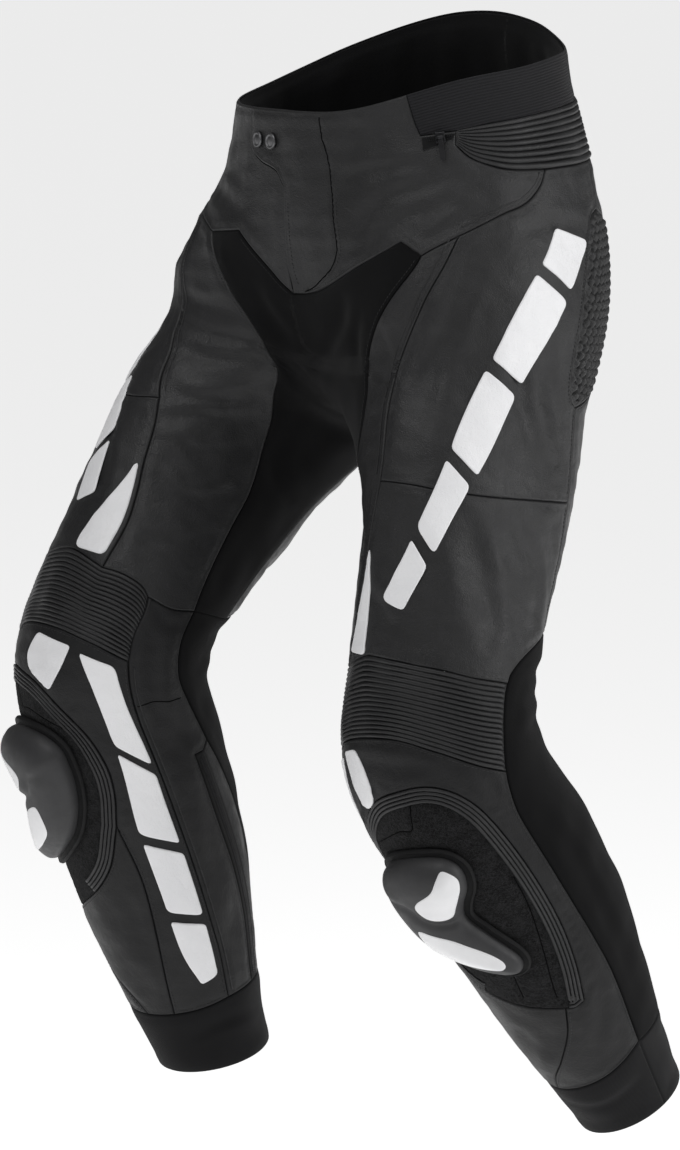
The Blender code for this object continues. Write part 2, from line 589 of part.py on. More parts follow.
def pleats(name, leg, top, bottom, left, right, count, out, into, wall, look):
    """A pleated panel: `count` ridges between two seams, its ends on the side seams."""
    rows, n = 2 * count, len(top)
    ends = []
    for side in (left, right):
        place = np.array([on_form(leg, *q)[0] for q in side])
        norm = np.array([on_form(leg, *q)[1] for q in side])
        run = np.concatenate([[0], np.cumsum(np.linalg.norm(np.diff(place, axis=0), axis=1))]) + 0.0
        want = np.linspace(0, run[-1], rows + 1)
        av = np.array(side)
        ends.append([np.array([np.interp(want, run, arr[:, k]) for k in range(arr.shape[1])]).T
                     for arr in (place, norm, av)])
    place, normal, names, faces, lift = [], [], [], [], {}
    for r in range(rows + 1):
        t = r / rows
        wl = ends[0][2][r] - (np.array(top[0]) * (1 - t) + np.array(bottom[0]) * t)
        wr = ends[1][2][r] - (np.array(top[-1]) * (1 - t) + np.array(bottom[-1]) * t)
        for i in range(n):
            u = i / (n - 1)
            q = np.array(top[i]) * (1 - t) + np.array(bottom[i]) * t + wl * (1 - u) + wr * u
            p, m = on_form(leg, *q)
            if i in (0, n - 1):
                p, m = ends[i > 0][0][r], unit(ends[i > 0][1][r])
            place.append(p)
            normal.append(m)
            names.append((leg, float(q[0]), float(q[1])))
            pitch = np.linalg.norm(on_form(leg, *top[i])[0] - on_form(leg, *bottom[i])[0]) / count
            size = min(1.0, pitch / 4.0)
            lift[names[-1]] = 0.0 if r in (0, rows) else (out if r % 2 else -into) * size
    for r in range(rows):
        for i in range(n - 1):
            k = r * n + i
            faces += [[k, k + 1, k + n + 1], [k, k + n + 1, k + n]]
    shell(name, (np.array(place), np.array(normal), faces, names), wall, look, lift=lambda *q: lift[q])


def make_lumbar():
    top = seam("L", "elastic_low") + mirrored(seam("R", "elastic_low"))[::-1][1:]
    low = [seam(s, "pleat_yoke") + seam(s, "pleat_side")[1:] + seam(s, "pleat_seat")[1:] for s in "LR"]
    bottom = low[0] + mirrored(low[1])[::-1][1:]
    pleats("lumbar_pleats", "L", top, bottom, seam("L", "pleat_end"), mirrored(seam("R", "pleat_end")),
           9, 1.3, 0.5, STRETCH, "leather")


def make_gusset():
    half = ["vee", "wing", "gusset", "-calf_top_g", "-gusset_back", "-crotch", "-centre_cr"]
    sheets = [surface(leg, *fill(outline(leg, half))) for leg in "LR"]
    shell("crotch_gusset", joined(*sheets), STRETCH, "stretch")


# ---- each leg ----------------------------------------------------------------
PANELS = {  # name: (seams round it, wall, look, lift)
    "thigh_front": (["yoke_strip", "strip_up", "strip_low", "-knee_top_i", "strip_end", "-gusset"],
                    LEATHER, "leather", 0),
    "thigh_outer_upper": (["yoke_outer", "pleat_side", "side_top", "hip_front", "side_mid", "-cross", "-strip_up"],
                          LEATHER, "leather", 0),
    "thigh_outer_lower": (["cross", "side_low", "calf_top_o", "-knee_top_o", "-strip_low"], LEATHER, "leather", 0),
    "hip_panel": (["hip_front", "-hip_back"], STRETCH, "stretch", 0),
    "thigh_back": (["pleat_seat", "centre_back", "gusset_back+12", "-calf_top_b", "-side_low", "-side_mid",
                    "-hip_back", "-side_top"], LEATHER, "leather", 0),
    "knee_surround": (["knee_low", "calf_out", "cuff_1", "-shin_out", "-pad_end", "-pad_top", "shin_in", "cuff_3",
                       "-medial"], LEATHER, "leather", 0),
    "shin": (["-pad_low", "shin_out", "cuff_2", "-shin_in"], LEATHER, "leather", 0),
    "knee_velcro": (["pad_top", "pad_end", "pad_low"], 1.8, "velcro", 0.3),
    "calf_inner": (["strip_end", "calf_in_up", "rear_top", "zip_top", "zip_front", "-cuff_4", "-medial",
                    "-knee_in"], LEATHER, "leather", 0),
    "calf_zip": (["zip_top", "zip_front", "cuff_5", "-zip_back"], LEATHER, "tape", 0),
    "calf_rear": (["rear_top", "zip_back", "cuff_6", "-calf_in_low"], LEATHER, "leather", 0),
    "calf_stretch": (["calf_top_b", "calf_top_g+12", "calf_in_up+12", "calf_in_low+12", "cuff_7+12", "-calf_out",
                      "-knee_out", "-calf_top_o"], STRETCH, "stretch", 0),
    "cuff": (["cuff_1", "cuff_2", "cuff_3", "cuff_4", "cuff_5", "cuff_6", "cuff_7", "cuff_seam+-12", "-hem",
              "-cuff_seam"], STRETCH, "stretch", 0),
}

# white leather laid on the panels: front edge, then rear edge, from top to bottom
INLAYS = {
    "thigh_stripe": {
        "L": ([(4.32, 2.62), (3.65, 3.72), (3.20, 4.85), (2.58, 5.86), (2.05, 6.72), (1.46, 7.62), (.85, 8.35)],
              [(5.02, 2.72), (4.52, 3.57), (3.93, 4.75), (3.33, 5.76), (2.70, 6.65), (2.05, 7.65), (1.42, 8.45)]),
        "R": ([(3.80, 2.62), (3.22, 3.72), (2.70, 4.85), (1.80, 5.86), (1.08, 6.66), (.70, 7.60), (.42, 8.30)],
              [(4.50, 2.72), (3.98, 3.57), (3.33, 4.75), (2.55, 5.76), (1.75, 6.65), (1.30, 7.65), (.98, 8.40)])},
    "thigh_spear": None,
    "knee_flash": {"L": ([(-.33, 10.86), (-.22, 11.25), (-.05, 11.62), (.12, 11.85)],
                         [(.16, 10.78), (.36, 11.15), (.45, 11.5), (.40, 11.72)]),
                   "R": ([(-.34, 10.90), (-.26, 11.2), (-.14, 11.5), (.03, 11.80)],
                         [(.50, 10.76), (.67, 11.0), (.73, 11.25), (.64, 11.48)])},
    "shin_stripe": ([(-.55, 11.0), (-.98, 11.87), (-1.20, 12.9), (-1.2, 13.98), (-1.33, 15.08), (-1.44, 16.0),
                     (-1.72, 16.6)],
                    [(-1.3, 11.2), (-1.52, 11.9), (-1.78, 12.9), (-1.88, 13.8), (-2.02, 14.8), (-2.15, 15.72),
                     (-2.2, 16.5)]),
}
# the puck: a rounded body and a pointed tail to its lower, outer side, with a notch between them
PUCK_RIM = [(-.10, 12.74), (.22, 12.58), (.68, 12.52), (1.12, 12.54), (1.44, 12.62), (1.60, 12.82), (1.52, 13.10),
            (1.26, 13.34), (1.14, 13.56), (1.32, 13.86), (1.64, 14.32), (1.62, 14.52), (1.38, 14.55), (.96, 14.42),
            (.50, 14.20), (.12, 13.94), (-.12, 13.62), (-.22, 13.28), (-.20, 12.98)]
PUCK = {"a": 0.68, "v": 13.24, "peak": 18.0, "slope": 24.0, "side": 4.0, "rise": 5.6}
PLATE = {"wider": 6.5, "rise": 1.7, "wall": 2.2}     # it follows the puck's rim, a little outside it
COLUMN_MM, RING_MM = 41.0, 60.0                      # size of a column and of a ring step at the knee pad


def inlay(leg, name):
    if name == "thigh_spear":
        s = seam(leg, "strip_low")
        line = [(a + .10, v) for a, v in curve([s[0]] + s[1:])]
        front = line[int(len(line) * .42):int(len(line) * .97)]
        front = front[::max(1, len(front) // 6)]
        tip, end = front[0], front[-1]
        back = [(tip[0] + .06 + (end[0] + .66 - tip[0]) * smooth(k / 5) ** 1.0, tip[1] + (end[1] - .06 - tip[1]) * k / 5)
                for k in range(6)]
    else:
        edges = INLAYS[name]
        front, back = edges[leg] if isinstance(edges, dict) else edges
        front = [eased(leg, a, v) for a, v in front]
        back = [eased(leg, a, v) for a, v in back]
    one = spaced(leg, curve(front, 12), 20.0)
    two = spaced(leg, curve(back, 12), 20.0)
    return one + two[::-1]


def widened(rim, by):
    """A closed rim in (a, v), moved outwards by a distance in millimetres."""
    pts = [np.array([a * COLUMN_MM, v * RING_MM]) for a, v in rim]
    out = []
    for before, here, after in zip(pts[-1:] + pts[:-1], pts, pts[1:] + pts[:1]):
        along = (after - before) / np.linalg.norm(after - before)
        here = here + np.array([along[1], -along[0]]) * by
        out.append((here[0] / COLUMN_MM, here[1] / RING_MM))
    return out


def puck_lift(leg, a, v):
    """Height of the puck's top: it rises with the distance from its rim, and less so along the tail."""
    here = ((a - PUCK["a"]) * COLUMN_MM, (v - PUCK["v"]) * RING_MM)
    rim = [((p - PUCK["a"]) * COLUMN_MM, (q - PUCK["v"]) * RING_MM) for p, q in PUCK_RIM]
    far = 1e9
    for (x1, y1), (x2, y2) in zip(rim, rim[1:] + rim[:1]):
        dx, dy = x2 - x1, y2 - y1
        t = max(0.0, min(1.0, ((here[0] - x1) * dx + (here[1] - y1) * dy) / (dx * dx + dy * dy)))
        far = min(far, math.hypot(here[0] - x1 - t * dx, here[1] - y1 - t * dy))
    dome = (1 - (1 - min(1.0, far / PUCK["slope"])) ** 2) ** .8
    tail = 1 - .30 * smooth((v - 13.6) / .9)
    return PUCK["rise"] + PUCK["side"] + PUCK["peak"] * dome * tail


def make_leg(leg):
    for name, (seams, wall, look, lift) in PANELS.items():
        sheet = surface(leg, *fill(outline(leg, seams)))
        if name == "cuff":
            sheet = joined(sheet)
        shell(f"{name}_{leg}", sheet, wall, look, lift=lift)
    pleats(f"knee_pleats_{leg}", leg, seam(leg, "knee_top_i") + seam(leg, "knee_top_o")[1:], seam(leg, "knee_low"),
           seam(leg, "knee_in"), seam(leg, "knee_out"), 17, 1.2, 0.6, STRETCH, "leather")
    for name in INLAYS:
        shell(f"{name}_{leg}", surface(leg, *fill(inlay(leg, name), facet=18)), 0.8, "white", lift=2.4)
    shell(f"puck_plate_{leg}", surface(leg, *fill(widened(PUCK_RIM, PLATE["wider"]), facet=15)), PLATE["wall"], "plastic",
          lift=PLATE["rise"] + PLATE["wall"])
    shell(f"puck_{leg}", surface(leg, *fill(PUCK_RIM, facet=14)),
          lambda *q: puck_lift(*q) - PUCK["rise"], "plastic", lift=puck_lift)


# ---- hard pieces ---------------------------------------------------------------
def disc(name, radius, height, matrix, look, bevel):
    bm = bmesh.new()
    bmesh.ops.create_cone(bm, cap_ends=True, segments=20, radius1=radius * MM, radius2=radius * MM,
                          depth=height * MM, matrix=Matrix.Translation((0, 0, height / 2 * MM)))
    mesh = bpy.data.meshes.new(name)
    bm.to_mesh(mesh)
    bm.free()
    obj = add(name, mesh, look, matrix)
    mod = obj.modifiers.new("edge", "BEVEL")
    mod.width, mod.segments, mod.limit_method = bevel * MM, 2, "ANGLE"
    return obj


def block(name, size, centre, matrix, look=None, bevel=0.0):
    bm = bmesh.new()
    bmesh.ops.create_cube(bm, size=1)
    bmesh.ops.scale(bm, vec=Vector(size) * MM, verts=bm.verts)
    bmesh.ops.translate(bm, vec=Vector(centre) * MM, verts=bm.verts)
    if bevel:
        bmesh.ops.bevel(bm, geom=bm.edges[:], offset=bevel * MM, segments=2, profile=.5, affect="EDGES")
    return solid(name, bm, matrix, look)


def rod(name, radius, length, centre, matrix, look=None, segments=16):
    """A cylinder along the local x axis."""
    bm = bmesh.new()
    bmesh.ops.create_cone(bm, cap_ends=True, segments=segments, radius1=radius * MM, radius2=radius * MM,
                          depth=length * MM, matrix=Matrix.Translation(Vector(centre) * MM)
                          @ Matrix.Rotation(math.radians(90), 4, "Y"))
    return solid(name, bm, matrix, look)


def solid(name, bm, matrix, look):
    mesh = bpy.data.meshes.new(name)
    bm.to_mesh(mesh)
    bm.free()
    if look:
        return add(name, mesh, look, matrix)
    obj = bpy.data.objects.new(name, mesh)
    obj.matrix_world = matrix
    obj.hide_render = True
    obj.display_type = "WIRE"
    CUTTERS.objects.link(obj)
    return obj


CUTTERS = bpy.data.collections.new("joins_and_cuts")
bpy.context.scene.collection.children.link(CUTTERS)
SNAPS = {"snap_1": (-.55, .62), "snap_2": (-.24, .62)}
ZIP_TAPE = [(2.24, .84), (2.5, .88), (2.76, .92), (2.72, 1.0), (2.5, 1.05), (2.25, 1.07)]
ZIP_AT, ZIP_ROLL = (2.52, .93), math.radians(4)
SLIDER = (8.0, 9.0, 2.6)                             # across, along the tape, high
BAR_HIGH, BAR_R, EYE_R, EYE_HOLE = 2.3, 0.6, 1.75, 0.95
PULL = (4.0, 17.0, 1.3)
PULL_REST = math.radians(-9)                         # it hangs with its tip near the cloth


def make_hardware():
    for name, (a, v) in SNAPS.items():
        disc(name, 6.6, 2.2, frame_at("L", a, v, FLAP_LIFT + 0.5), "metal", 0.8)
    shell("joining_zip_tape", surface("L", *fill(ZIP_TAPE, facet=14)), 1.0, "tape", lift=2.0)
    m = frame_at("L", *ZIP_AT, 2.7, ZIP_ROLL)
    w, l, h = SLIDER
    body = block("joining_zip_slider", (w, l, h), (0, 0, h / 2), m, "metal", bevel=.7)
    y = 0.0
    for k, part in enumerate((
            block("post_a", (1.2, 2.4, 3.6), (-(PULL[0] / 2 + 1.1), y, h + 1.2), m),
            block("post_b", (1.2, 2.4, 3.6), (PULL[0] / 2 + 1.1, y, h + 1.2), m),
            rod("bar", BAR_R, PULL[0] + 2.6, (0, y, h + BAR_HIGH), m, segments=12))):
        mod = body.modifiers.new(f"join{k}", "BOOLEAN")
        mod.operation, mod.object, mod.solver = "UNION", part, "EXACT"
    axis = m @ Matrix.Translation(Vector((0, y, h + BAR_HIGH)) * MM)      # the pull's pivot
    axis = axis @ Matrix.Rotation(PULL_REST, 4, "X")
    pull = rod("joining_zip_pull", EYE_R, PULL[0], (0, 0, 0), axis, "metal", segments=20)
    plate = block("pull_plate", (PULL[0], PULL[1], PULL[2]), (0, PULL[1] / 2 + 1.2, 0), axis, bevel=.35)
    hole = rod("pull_hole", EYE_HOLE, PULL[0] + 4, (0, 0, 0), axis, segments=16)
    for op, part in (("UNION", plate), ("DIFFERENCE", hole)):
        mod = pull.modifiers.new(op.lower(), "BOOLEAN")
        mod.operation, mod.object, mod.solver = op, part, "EXACT"


make_yokes()
make_band()
make_lining()
make_lumbar()
make_gusset()
for LEG_NAME in "LR":
    make_leg(LEG_NAME)
make_hardware()
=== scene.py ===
"""Leather riding trousers: fine cloth, seams, ribs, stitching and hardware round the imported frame."""
import math
import bpy
import bmesh
import numpy as np
from mathutils import Matrix, Vector
from mathutils.geometry import delaunay_2d_cdt
from mathutils.kdtree import KDTree


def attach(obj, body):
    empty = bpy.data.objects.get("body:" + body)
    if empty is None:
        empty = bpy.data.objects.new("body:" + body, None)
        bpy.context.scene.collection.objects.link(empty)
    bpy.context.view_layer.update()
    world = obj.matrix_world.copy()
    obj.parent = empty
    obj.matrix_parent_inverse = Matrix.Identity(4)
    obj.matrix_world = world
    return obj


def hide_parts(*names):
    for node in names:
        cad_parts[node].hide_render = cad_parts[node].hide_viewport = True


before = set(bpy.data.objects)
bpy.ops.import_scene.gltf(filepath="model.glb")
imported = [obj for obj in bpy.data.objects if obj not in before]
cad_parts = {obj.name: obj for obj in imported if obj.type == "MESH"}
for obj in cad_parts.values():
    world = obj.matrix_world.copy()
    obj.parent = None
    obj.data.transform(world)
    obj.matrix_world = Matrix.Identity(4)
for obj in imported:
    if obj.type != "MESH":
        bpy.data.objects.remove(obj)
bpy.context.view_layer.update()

MM = 0.001
BODY = "trousers"
SEAM_GAP = 0.3
FLAP_LIFT = 2.7
LEVELS, COLS, HALF = 3, 12, 8
STEP = 3.7              # side of the cloth's triangles, in millimetres
EDGE = 2.7              # spacing of points along a seam

# ---- the form the cloth lies on: the same rings as the CAD solids ----------------
PELVIS = [
    # name        zf    zb     hw   dfc  dfl  dbl  dbc   n   tilt fore lean
    ("waist",       0,   72,  149, 123, 123, 118, 118, 2.1, 0.00,  0, 1.0),
    ("elastic",   -44,   18,  155, 124, 125, 127, 124, 2.1, 0.00,  0, 0.8),
    ("high_hip",  -88,  -38,  167, 122, 127, 146, 136, 2.2, 0.10,  8, 0.4),
    ("hip",      -132,  -98,  183, 115, 129, 166, 142, 2.2, 0.30, 24, 0.0),
    ("low_hip",  -174, -156,  193, 102, 130, 170, 132, 2.2, 0.60, 42, 0.0),
    ("crotch",   -214, -214,  188,  82, 126, 154, 106, 2.2, 0.85, 56, 0.0),
]
RIM_DIP = [0, -4, -3, -5, -11, -10, -12, -4, 0]
LEAN = [0, 0, 8, 14, 11, 5, -4, -5, 0]
FOLLOW = [0, .55, .9, 1, 1, 1, .9, .55, 0]
CROTCH = [(62, -250), (6, -264), (-48, -244)]
HIP = (86, 0, -185)
LEG = {
    "L": {"side": 1, "knee": (151, -92, -489), "hem": (181, 97, -814)},
    "R": {"side": -1, "knee": (107, -198.5, -430), "hem": (117.6, -99, -797.6)},
}
FACING, BEND = 16.0, 0.22
LEG_RINGS = [
    # name      along  half-w half-d  out  fore  n
    ("thigh1",  0.40,   67,   104,   26,   12, 2.10),
    ("thigh2",  0.56,   67,    97,   22,   12, 2.05),
    ("thigh3",  0.72,   69,    89,   18,   14, 2.0),
    ("thigh4",  0.86,   75,    82,   12,   15, 2.0),
    ("knee1",   0.95,   80,    79,    8,   21, 2.0),
    ("knee2",   1.03,   82,    80,    7,   29, 2.0),
    ("knee3",   1.12,   81,    81,    8,   33, 2.0),
    ("calf1",   1.24,   81,    81,   12,   26, 2.0),
    ("calf2",   1.40,   78,    79,   13,   21, 2.0),
    ("calf3",   1.56,   72,    76,   12,   18, 2.0),
    ("calf4",   1.72,   63,    67,    9,   17, 2.0),
    ("calf5",   1.86,   53,    56,    5,   14, 2.0),
    ("hem",     2.02,   45,    48,    1,    8, 2.0),
]
HEM_V, CROTCH_V = len(PELVIS) + len(LEG_RINGS) - 1, len(PELVIS) - 1
KNEE_EASE = {"L": -0.2, "R": 0.2}

SEAMS = {
    "rim_front":  [(0, 0), (1.0, 0), (2.03, 0)],
    "rim_back":   [(2.03, 0), (4, 0), (6, 0), (8, 0)],
    "centre_top": [(0, 0), (0, 1.45)],
    "centre_low": [(0, 1.45), (0, 3.6)],
    "centre_cr":  [(0, 3.6), (0, 5)],
    "crotch":     [(0, 5), (-1, 5), (-2, 5), (-3, 5), (-4, 5)],
    "centre_back": [(8, 1.92), (8, 3.4), (8, 5)],
    "elastic_end": [(2.03, 0), (2.12, .45), (2.22, .80)],
    "elastic_zip": [(2.22, .80), (2.77, .87)],
    "elastic_low": [(2.77, .87), (3.82, .91), (5.5, .95), (8, 1.0)],
    "pleat_end":  [(2.77, .87), (2.75, 1.10)],
    "pleat_yoke": [(2.75, 1.10), (2.99, 1.38), (3.37, 1.59), (3.73, 1.70), (4.26, 1.78)],
    "pleat_side": [(4.26, 1.78), (5.0, 1.83), (5.6, 1.86)],
    "pleat_seat": [(5.6, 1.86), (6.8, 1.9), (8, 1.92)],
    "vee":        {"L": [(0, 3.6), (.47, 3.45), (1.14, 2.99), (1.85, 2.56)],
                   "R": [(0, 3.6), (.16, 3.41), (.37, 3.09), (.82, 2.54)]},
    "wing":       {"L": [(1.85, 2.56), (2.15, 2.84)], "R": [(.82, 2.54), (1.38, 2.78)]},
    "yoke_strip": {"L": [(2.15, 2.84), (2.36, 2.72), (2.72, 2.56)],
                   "R": [(1.38, 2.78), (1.6, 2.68), (2.0, 2.55)]},
    "yoke_outer": {"L": [(2.72, 2.56), (3.40, 2.32), (3.83, 2.21), (4.13, 2.0), (4.26, 1.78)],
                   "R": [(2.0, 2.55), (2.9, 2.38), (3.7, 2.22), (4.1, 2.0), (4.26, 1.78)]},
    "gusset":     {"L": [(2.15, 2.84), (2.05, 3.04), (1.72, 3.58), (1.48, 4.08), (1.3, 4.58), (1.15, 5.0),
                         (.95, 5.4), (.4, 5.85), (-.7, 6.3), (-1.7, 6.75), (-2.2, 7.3), (-2.42, 8.0),
                         (-2.55, 8.8), (-2.6, 9.45)],
                   "R": [(1.38, 2.78), (1.2, 3.24), (.95, 3.81), (.75, 4.35), (.48, 4.83), (.17, 5.15),
                         (-.56, 5.46), (-1.52, 5.93), (-2.03, 6.45), (-2.27, 6.97), (-2.37, 7.54),
                         (-2.46, 8.12), (-2.54, 8.84), (-2.6, 9.45)]},
    "strip_up":   {"L": [(2.72, 2.56), (2.53, 2.96), (2.22, 3.65), (1.95, 4.53), (1.69, 5.11), (1.34, 5.67),
                         (.93, 6.43)],
                   "R": [(2.0, 2.55), (2.02, 3.2), (1.95, 4.0), (1.78, 4.66), (1.46, 5.33), (.80, 5.9),
                         (.1, 6.55)]},
    "strip_low":  {"L": [(.93, 6.43), (.62, 7.0), (.28, 7.7), (-.12, 8.5), (-.45, 9.25)],
                   "R": [(.1, 6.55), (-.13, 6.94), (-.33, 7.55), (-.5, 8.0), (-.58, 8.5), (-.45, 9.25)]},
    "cross":      {"L": [(.93, 6.43), (1.74, 6.5), (2.43, 6.55), (3.42, 6.5), (5.2, 6.22)],
                   "R": [(.1, 6.55), (.83, 6.68), (2.0, 6.62), (3.42, 6.5), (5.2, 6.22)]},
    "hip_front":  [(5.5, 2.5), (5.17, 2.6), (5.0, 2.95), (4.84, 3.56), (4.78, 4.08), (4.76, 4.55),
                   (4.82, 4.98), (5.02, 5.12)],
    "hip_back":   [(5.5, 2.5), (6.1, 2.8), (6.4, 3.4), (6.35, 4.0), (6.05, 4.55), (5.61, 4.93), (5.02, 5.12)],
    "side_top":   [(5.6, 1.86), (5.5, 2.5)],
    "side_mid":   [(5.02, 5.12), (5.2, 6.22)],
    "side_low":   [(5.2, 6.22), (5.3, 7.3), (5.27, 8.49)],
    "calf_top_o": [(5.27, 8.49), (4.23, 9.12), (3.75, 9.55), (3.62, 9.82)],
    "calf_top_b": [(5.27, 8.49), (6.3, 8.45), (7.2, 8.8), (8.2, 9.3)],
    "calf_top_g": [(-3.8, 9.3), (-2.6, 9.45)],
    "gusset_back": [(-4, 5), (-3.95, 5.6), (-3.8, 6.5), (-3.75, 7.5), (-3.8, 8.5), (-3.8, 9.3)],
    "knee_top_o": [(-.45, 9.25), (.3, 9.12), (.8, 9.15), (2.08, 9.42), (3.0, 9.68), (3.62, 9.82)],
    "knee_top_i": [(-1.54, 9.5), (-1.3, 9.32), (-.9, 9.24), (-.45, 9.25)],
    "knee_in":    [(-1.54, 9.5), (-1.57, 9.85), (-1.52, 10.45), (-1.54, 11.05)],
    "knee_out":   [(3.62, 9.82), (3.52, 10.2), (3.38, 11.2), (3.27, 11.75)],
    "knee_low":   [(-1.54, 11.05), (-.79, 10.78), (.1, 10.6), (1.1, 10.65), (1.98, 11.0), (2.79, 11.48),
                   (3.27, 11.75)],
    "strip_end":  [(-1.54, 9.5), (-2.1, 9.6), (-2.6, 9.45)],
    "calf_in_up": [(-2.6, 9.45), (-2.58, 10.4), (-2.72, 11.4), (-2.96, 12.1), (-3.25, 13.0)],
    "calf_in_low": [(-3.25, 13.0), (-3.6, 13.7), (-4.0, 14.6), (-4.3, 15.6), (-4.4, 16.92)],
    "calf_out":   [(3.27, 11.75), (3.20, 12.08), (3.10, 12.55), (3.08, 13.2), (3.11, 14.0), (3.2, 14.7),
                   (3.31, 15.5), (3.33, 16.75)],
    "rear_top":   [(-3.25, 13.0), (-3.05, 13.15)],
    "zip_top":    [(-3.05, 13.15), (-2.8, 13.15)],
    "zip_front":  [(-2.8, 13.15), (-3.0, 14.28), (-3.24, 15.11), (-3.44, 15.94), (-3.44, 16.93)],
    "zip_back":   [(-3.05, 13.15), (-3.32, 14.28), (-3.58, 15.11), (-3.84, 15.94), (-3.84, 16.93)],
    "medial":     [(-1.54, 11.05), (-1.64, 11.65), (-1.74, 12.2), (-1.92, 13.18), (-2.07, 14.23),
                   (-2.26, 15.39), (-2.4, 16.2), (-2.4, 16.95)],
    "pad_top":    [(-.78, 13.9), (-.93, 13.4), (-.9, 12.95), (-.62, 12.45), (0, 11.95), (.5, 11.68), (1.06, 11.57),
                   (1.6, 11.56), (2.05, 11.72), (2.4, 12.05), (2.58, 12.5), (2.67, 13.24), (2.68, 14.18),
                   (2.58, 14.9), (2.4, 15.5)],
    "pad_end":    [(2.4, 15.5), (2.15, 15.53), (1.95, 15.48)],
    "pad_low":    [(1.95, 15.48), (1.4, 15.33), (.95, 15.2), (.17, 14.9), (-.4, 14.5), (-.78, 13.9)],
    "shin_out":   [(1.95, 15.48), (1.66, 15.94), (1.07, 16.42), (.5, 16.75), (.2, 17.03)],
    "shin_in":    [(-.78, 13.9), (-1.0, 14.8), (-.95, 15.8), (-.7, 17.02)],
    "cuff_1":     [(3.33, 16.75), (2.53, 16.9), (1.85, 16.98), (1.05, 17.02), (.2, 17.03)],
    "cuff_2":     [(.2, 17.03), (-.7, 17.02)],
    "cuff_3":     [(-.7, 17.02), (-1.5, 17.0), (-2.4, 16.95)],
    "cuff_4":     [(-2.4, 16.95), (-3.44, 16.93)],
    "cuff_5":     [(-3.44, 16.93), (-3.84, 16.93)],
    "cuff_6":     [(-3.84, 16.93), (-4.4, 16.92)],
    "cuff_7":     [(-4.4, 16.92), (-6, 16.88), (-7.5, 16.8), (-8.67, 16.75)],
    "hem":        [(3.33, 18), (-2.67, 18), (-8.67, 18)],
    "cuff_seam":  [(3.33, 16.75), (3.33, 18)],
}
FLAP_EDGE = [(0, 0), (-.84, 0), (-.82, .3), (-.74, .8), (-.5, 1.02), (-.17, 1.16), (0, 1.45)]


def unit(v):
    v = np.asarray(v, float)
    return v / np.maximum(np.linalg.norm(v, axis=-1, keepdims=True), 1e-12)


def power(c, n):
    return math.copysign(abs(c) ** (2 / n), c)


def smooth(x):
    x = np.clip(x, 0.0, 1.0)
    return x * x * (3 - 2 * x)


def swing(leg):
    d = np.array(LEG[leg]["knee"], float) - np.array(HIP, float)
    return math.atan2(-d[1], -d[2])


def pelvis_point(row, col, leg):
    name, zf, zb, hw, dfc, dfl, dbl, dbc, n, tilt, fore, lean = PELVIS[row]
    grow = 3 / (2 + math.cos(math.radians(22.5)))    # the cage stands outside its surface
    phi = math.radians(22.5 * col)
    c, s = math.cos(phi), math.sin(phi)
    part = min(1, s * 1.7)
    depth = dfc + (dfl - dfc) * part if c >= 0 else dbc + (dbl - dbc) * part
    x = hw * power(s, n) * grow if 0 < col < HALF else 0.0
    y = (-1 if c >= 0 else 1) * depth * abs(power(c, n)) * grow
    z = zf + (zb - zf) * (1 - c) / 2 + LEG[leg]["side"] * LEAN[col] * lean + (RIM_DIP[col] if row == 0 else 0)
    turn, mid = swing(leg) * tilt * FOLLOW[col], (zf + zb) / 2
    ct, st = math.cos(turn), math.sin(turn)
    y, z = y * ct + (z - mid) * st, mid - y * st + (z - mid) * ct
    y -= fore * math.sin(swing(leg)) / math.sin(math.radians(40)) * FOLLOW[col]
    return np.array([x * LEG[leg]["side"], y, z])


def leg_ring(leg, ring):
    """Centre, outward axis, forward axis and sizes of one ring across the leg."""
    name, t, hw, hd, out, fore, n = ring
    side = LEG[leg]["side"]
    flip = np.array([side, 1, 1])
    hip, knee, hem = (np.array(p, float) * flip for p in (HIP, LEG[leg]["knee"], LEG[leg]["hem"]))
    c = hip + (knee - hip) * t if t < 1 else knee + (hem - knee) * (t - 1)
    if abs(t - 1) < BEND:
        p0, p2, q = hip + (knee - hip) * (1 - BEND), knee + (hem - knee) * BEND, (t - 1 + BEND) / (2 * BEND)
        c = (1 - q) ** 2 * p0 + 2 * q * (1 - q) * knee + q * q * p2
    k = smooth((t - (1 - 1.6 * BEND)) / (3.2 * BEND))
    run = unit(unit(knee - hip) * (1 - k) + unit(hem - knee) * k)
    h = smooth((t + 0.35) / 0.80)
    run = unit(np.array([0, 0, -1.0]) * (1 - h) + run * h)
    turn = math.radians(FACING) * side * min(1, t / 0.9)
    front = np.array([math.sin(turn), -math.cos(turn), 0])
    e1 = unit(np.cross(front, run))
    e1 = e1 if e1[0] * side > 0 else -e1
    e2 = unit(np.cross(run, e1))
    e2 = e2 if e2 @ front > 0 else -e2
    return c + e1 * out + e2 * fore, e1, e2, hw, hd, n


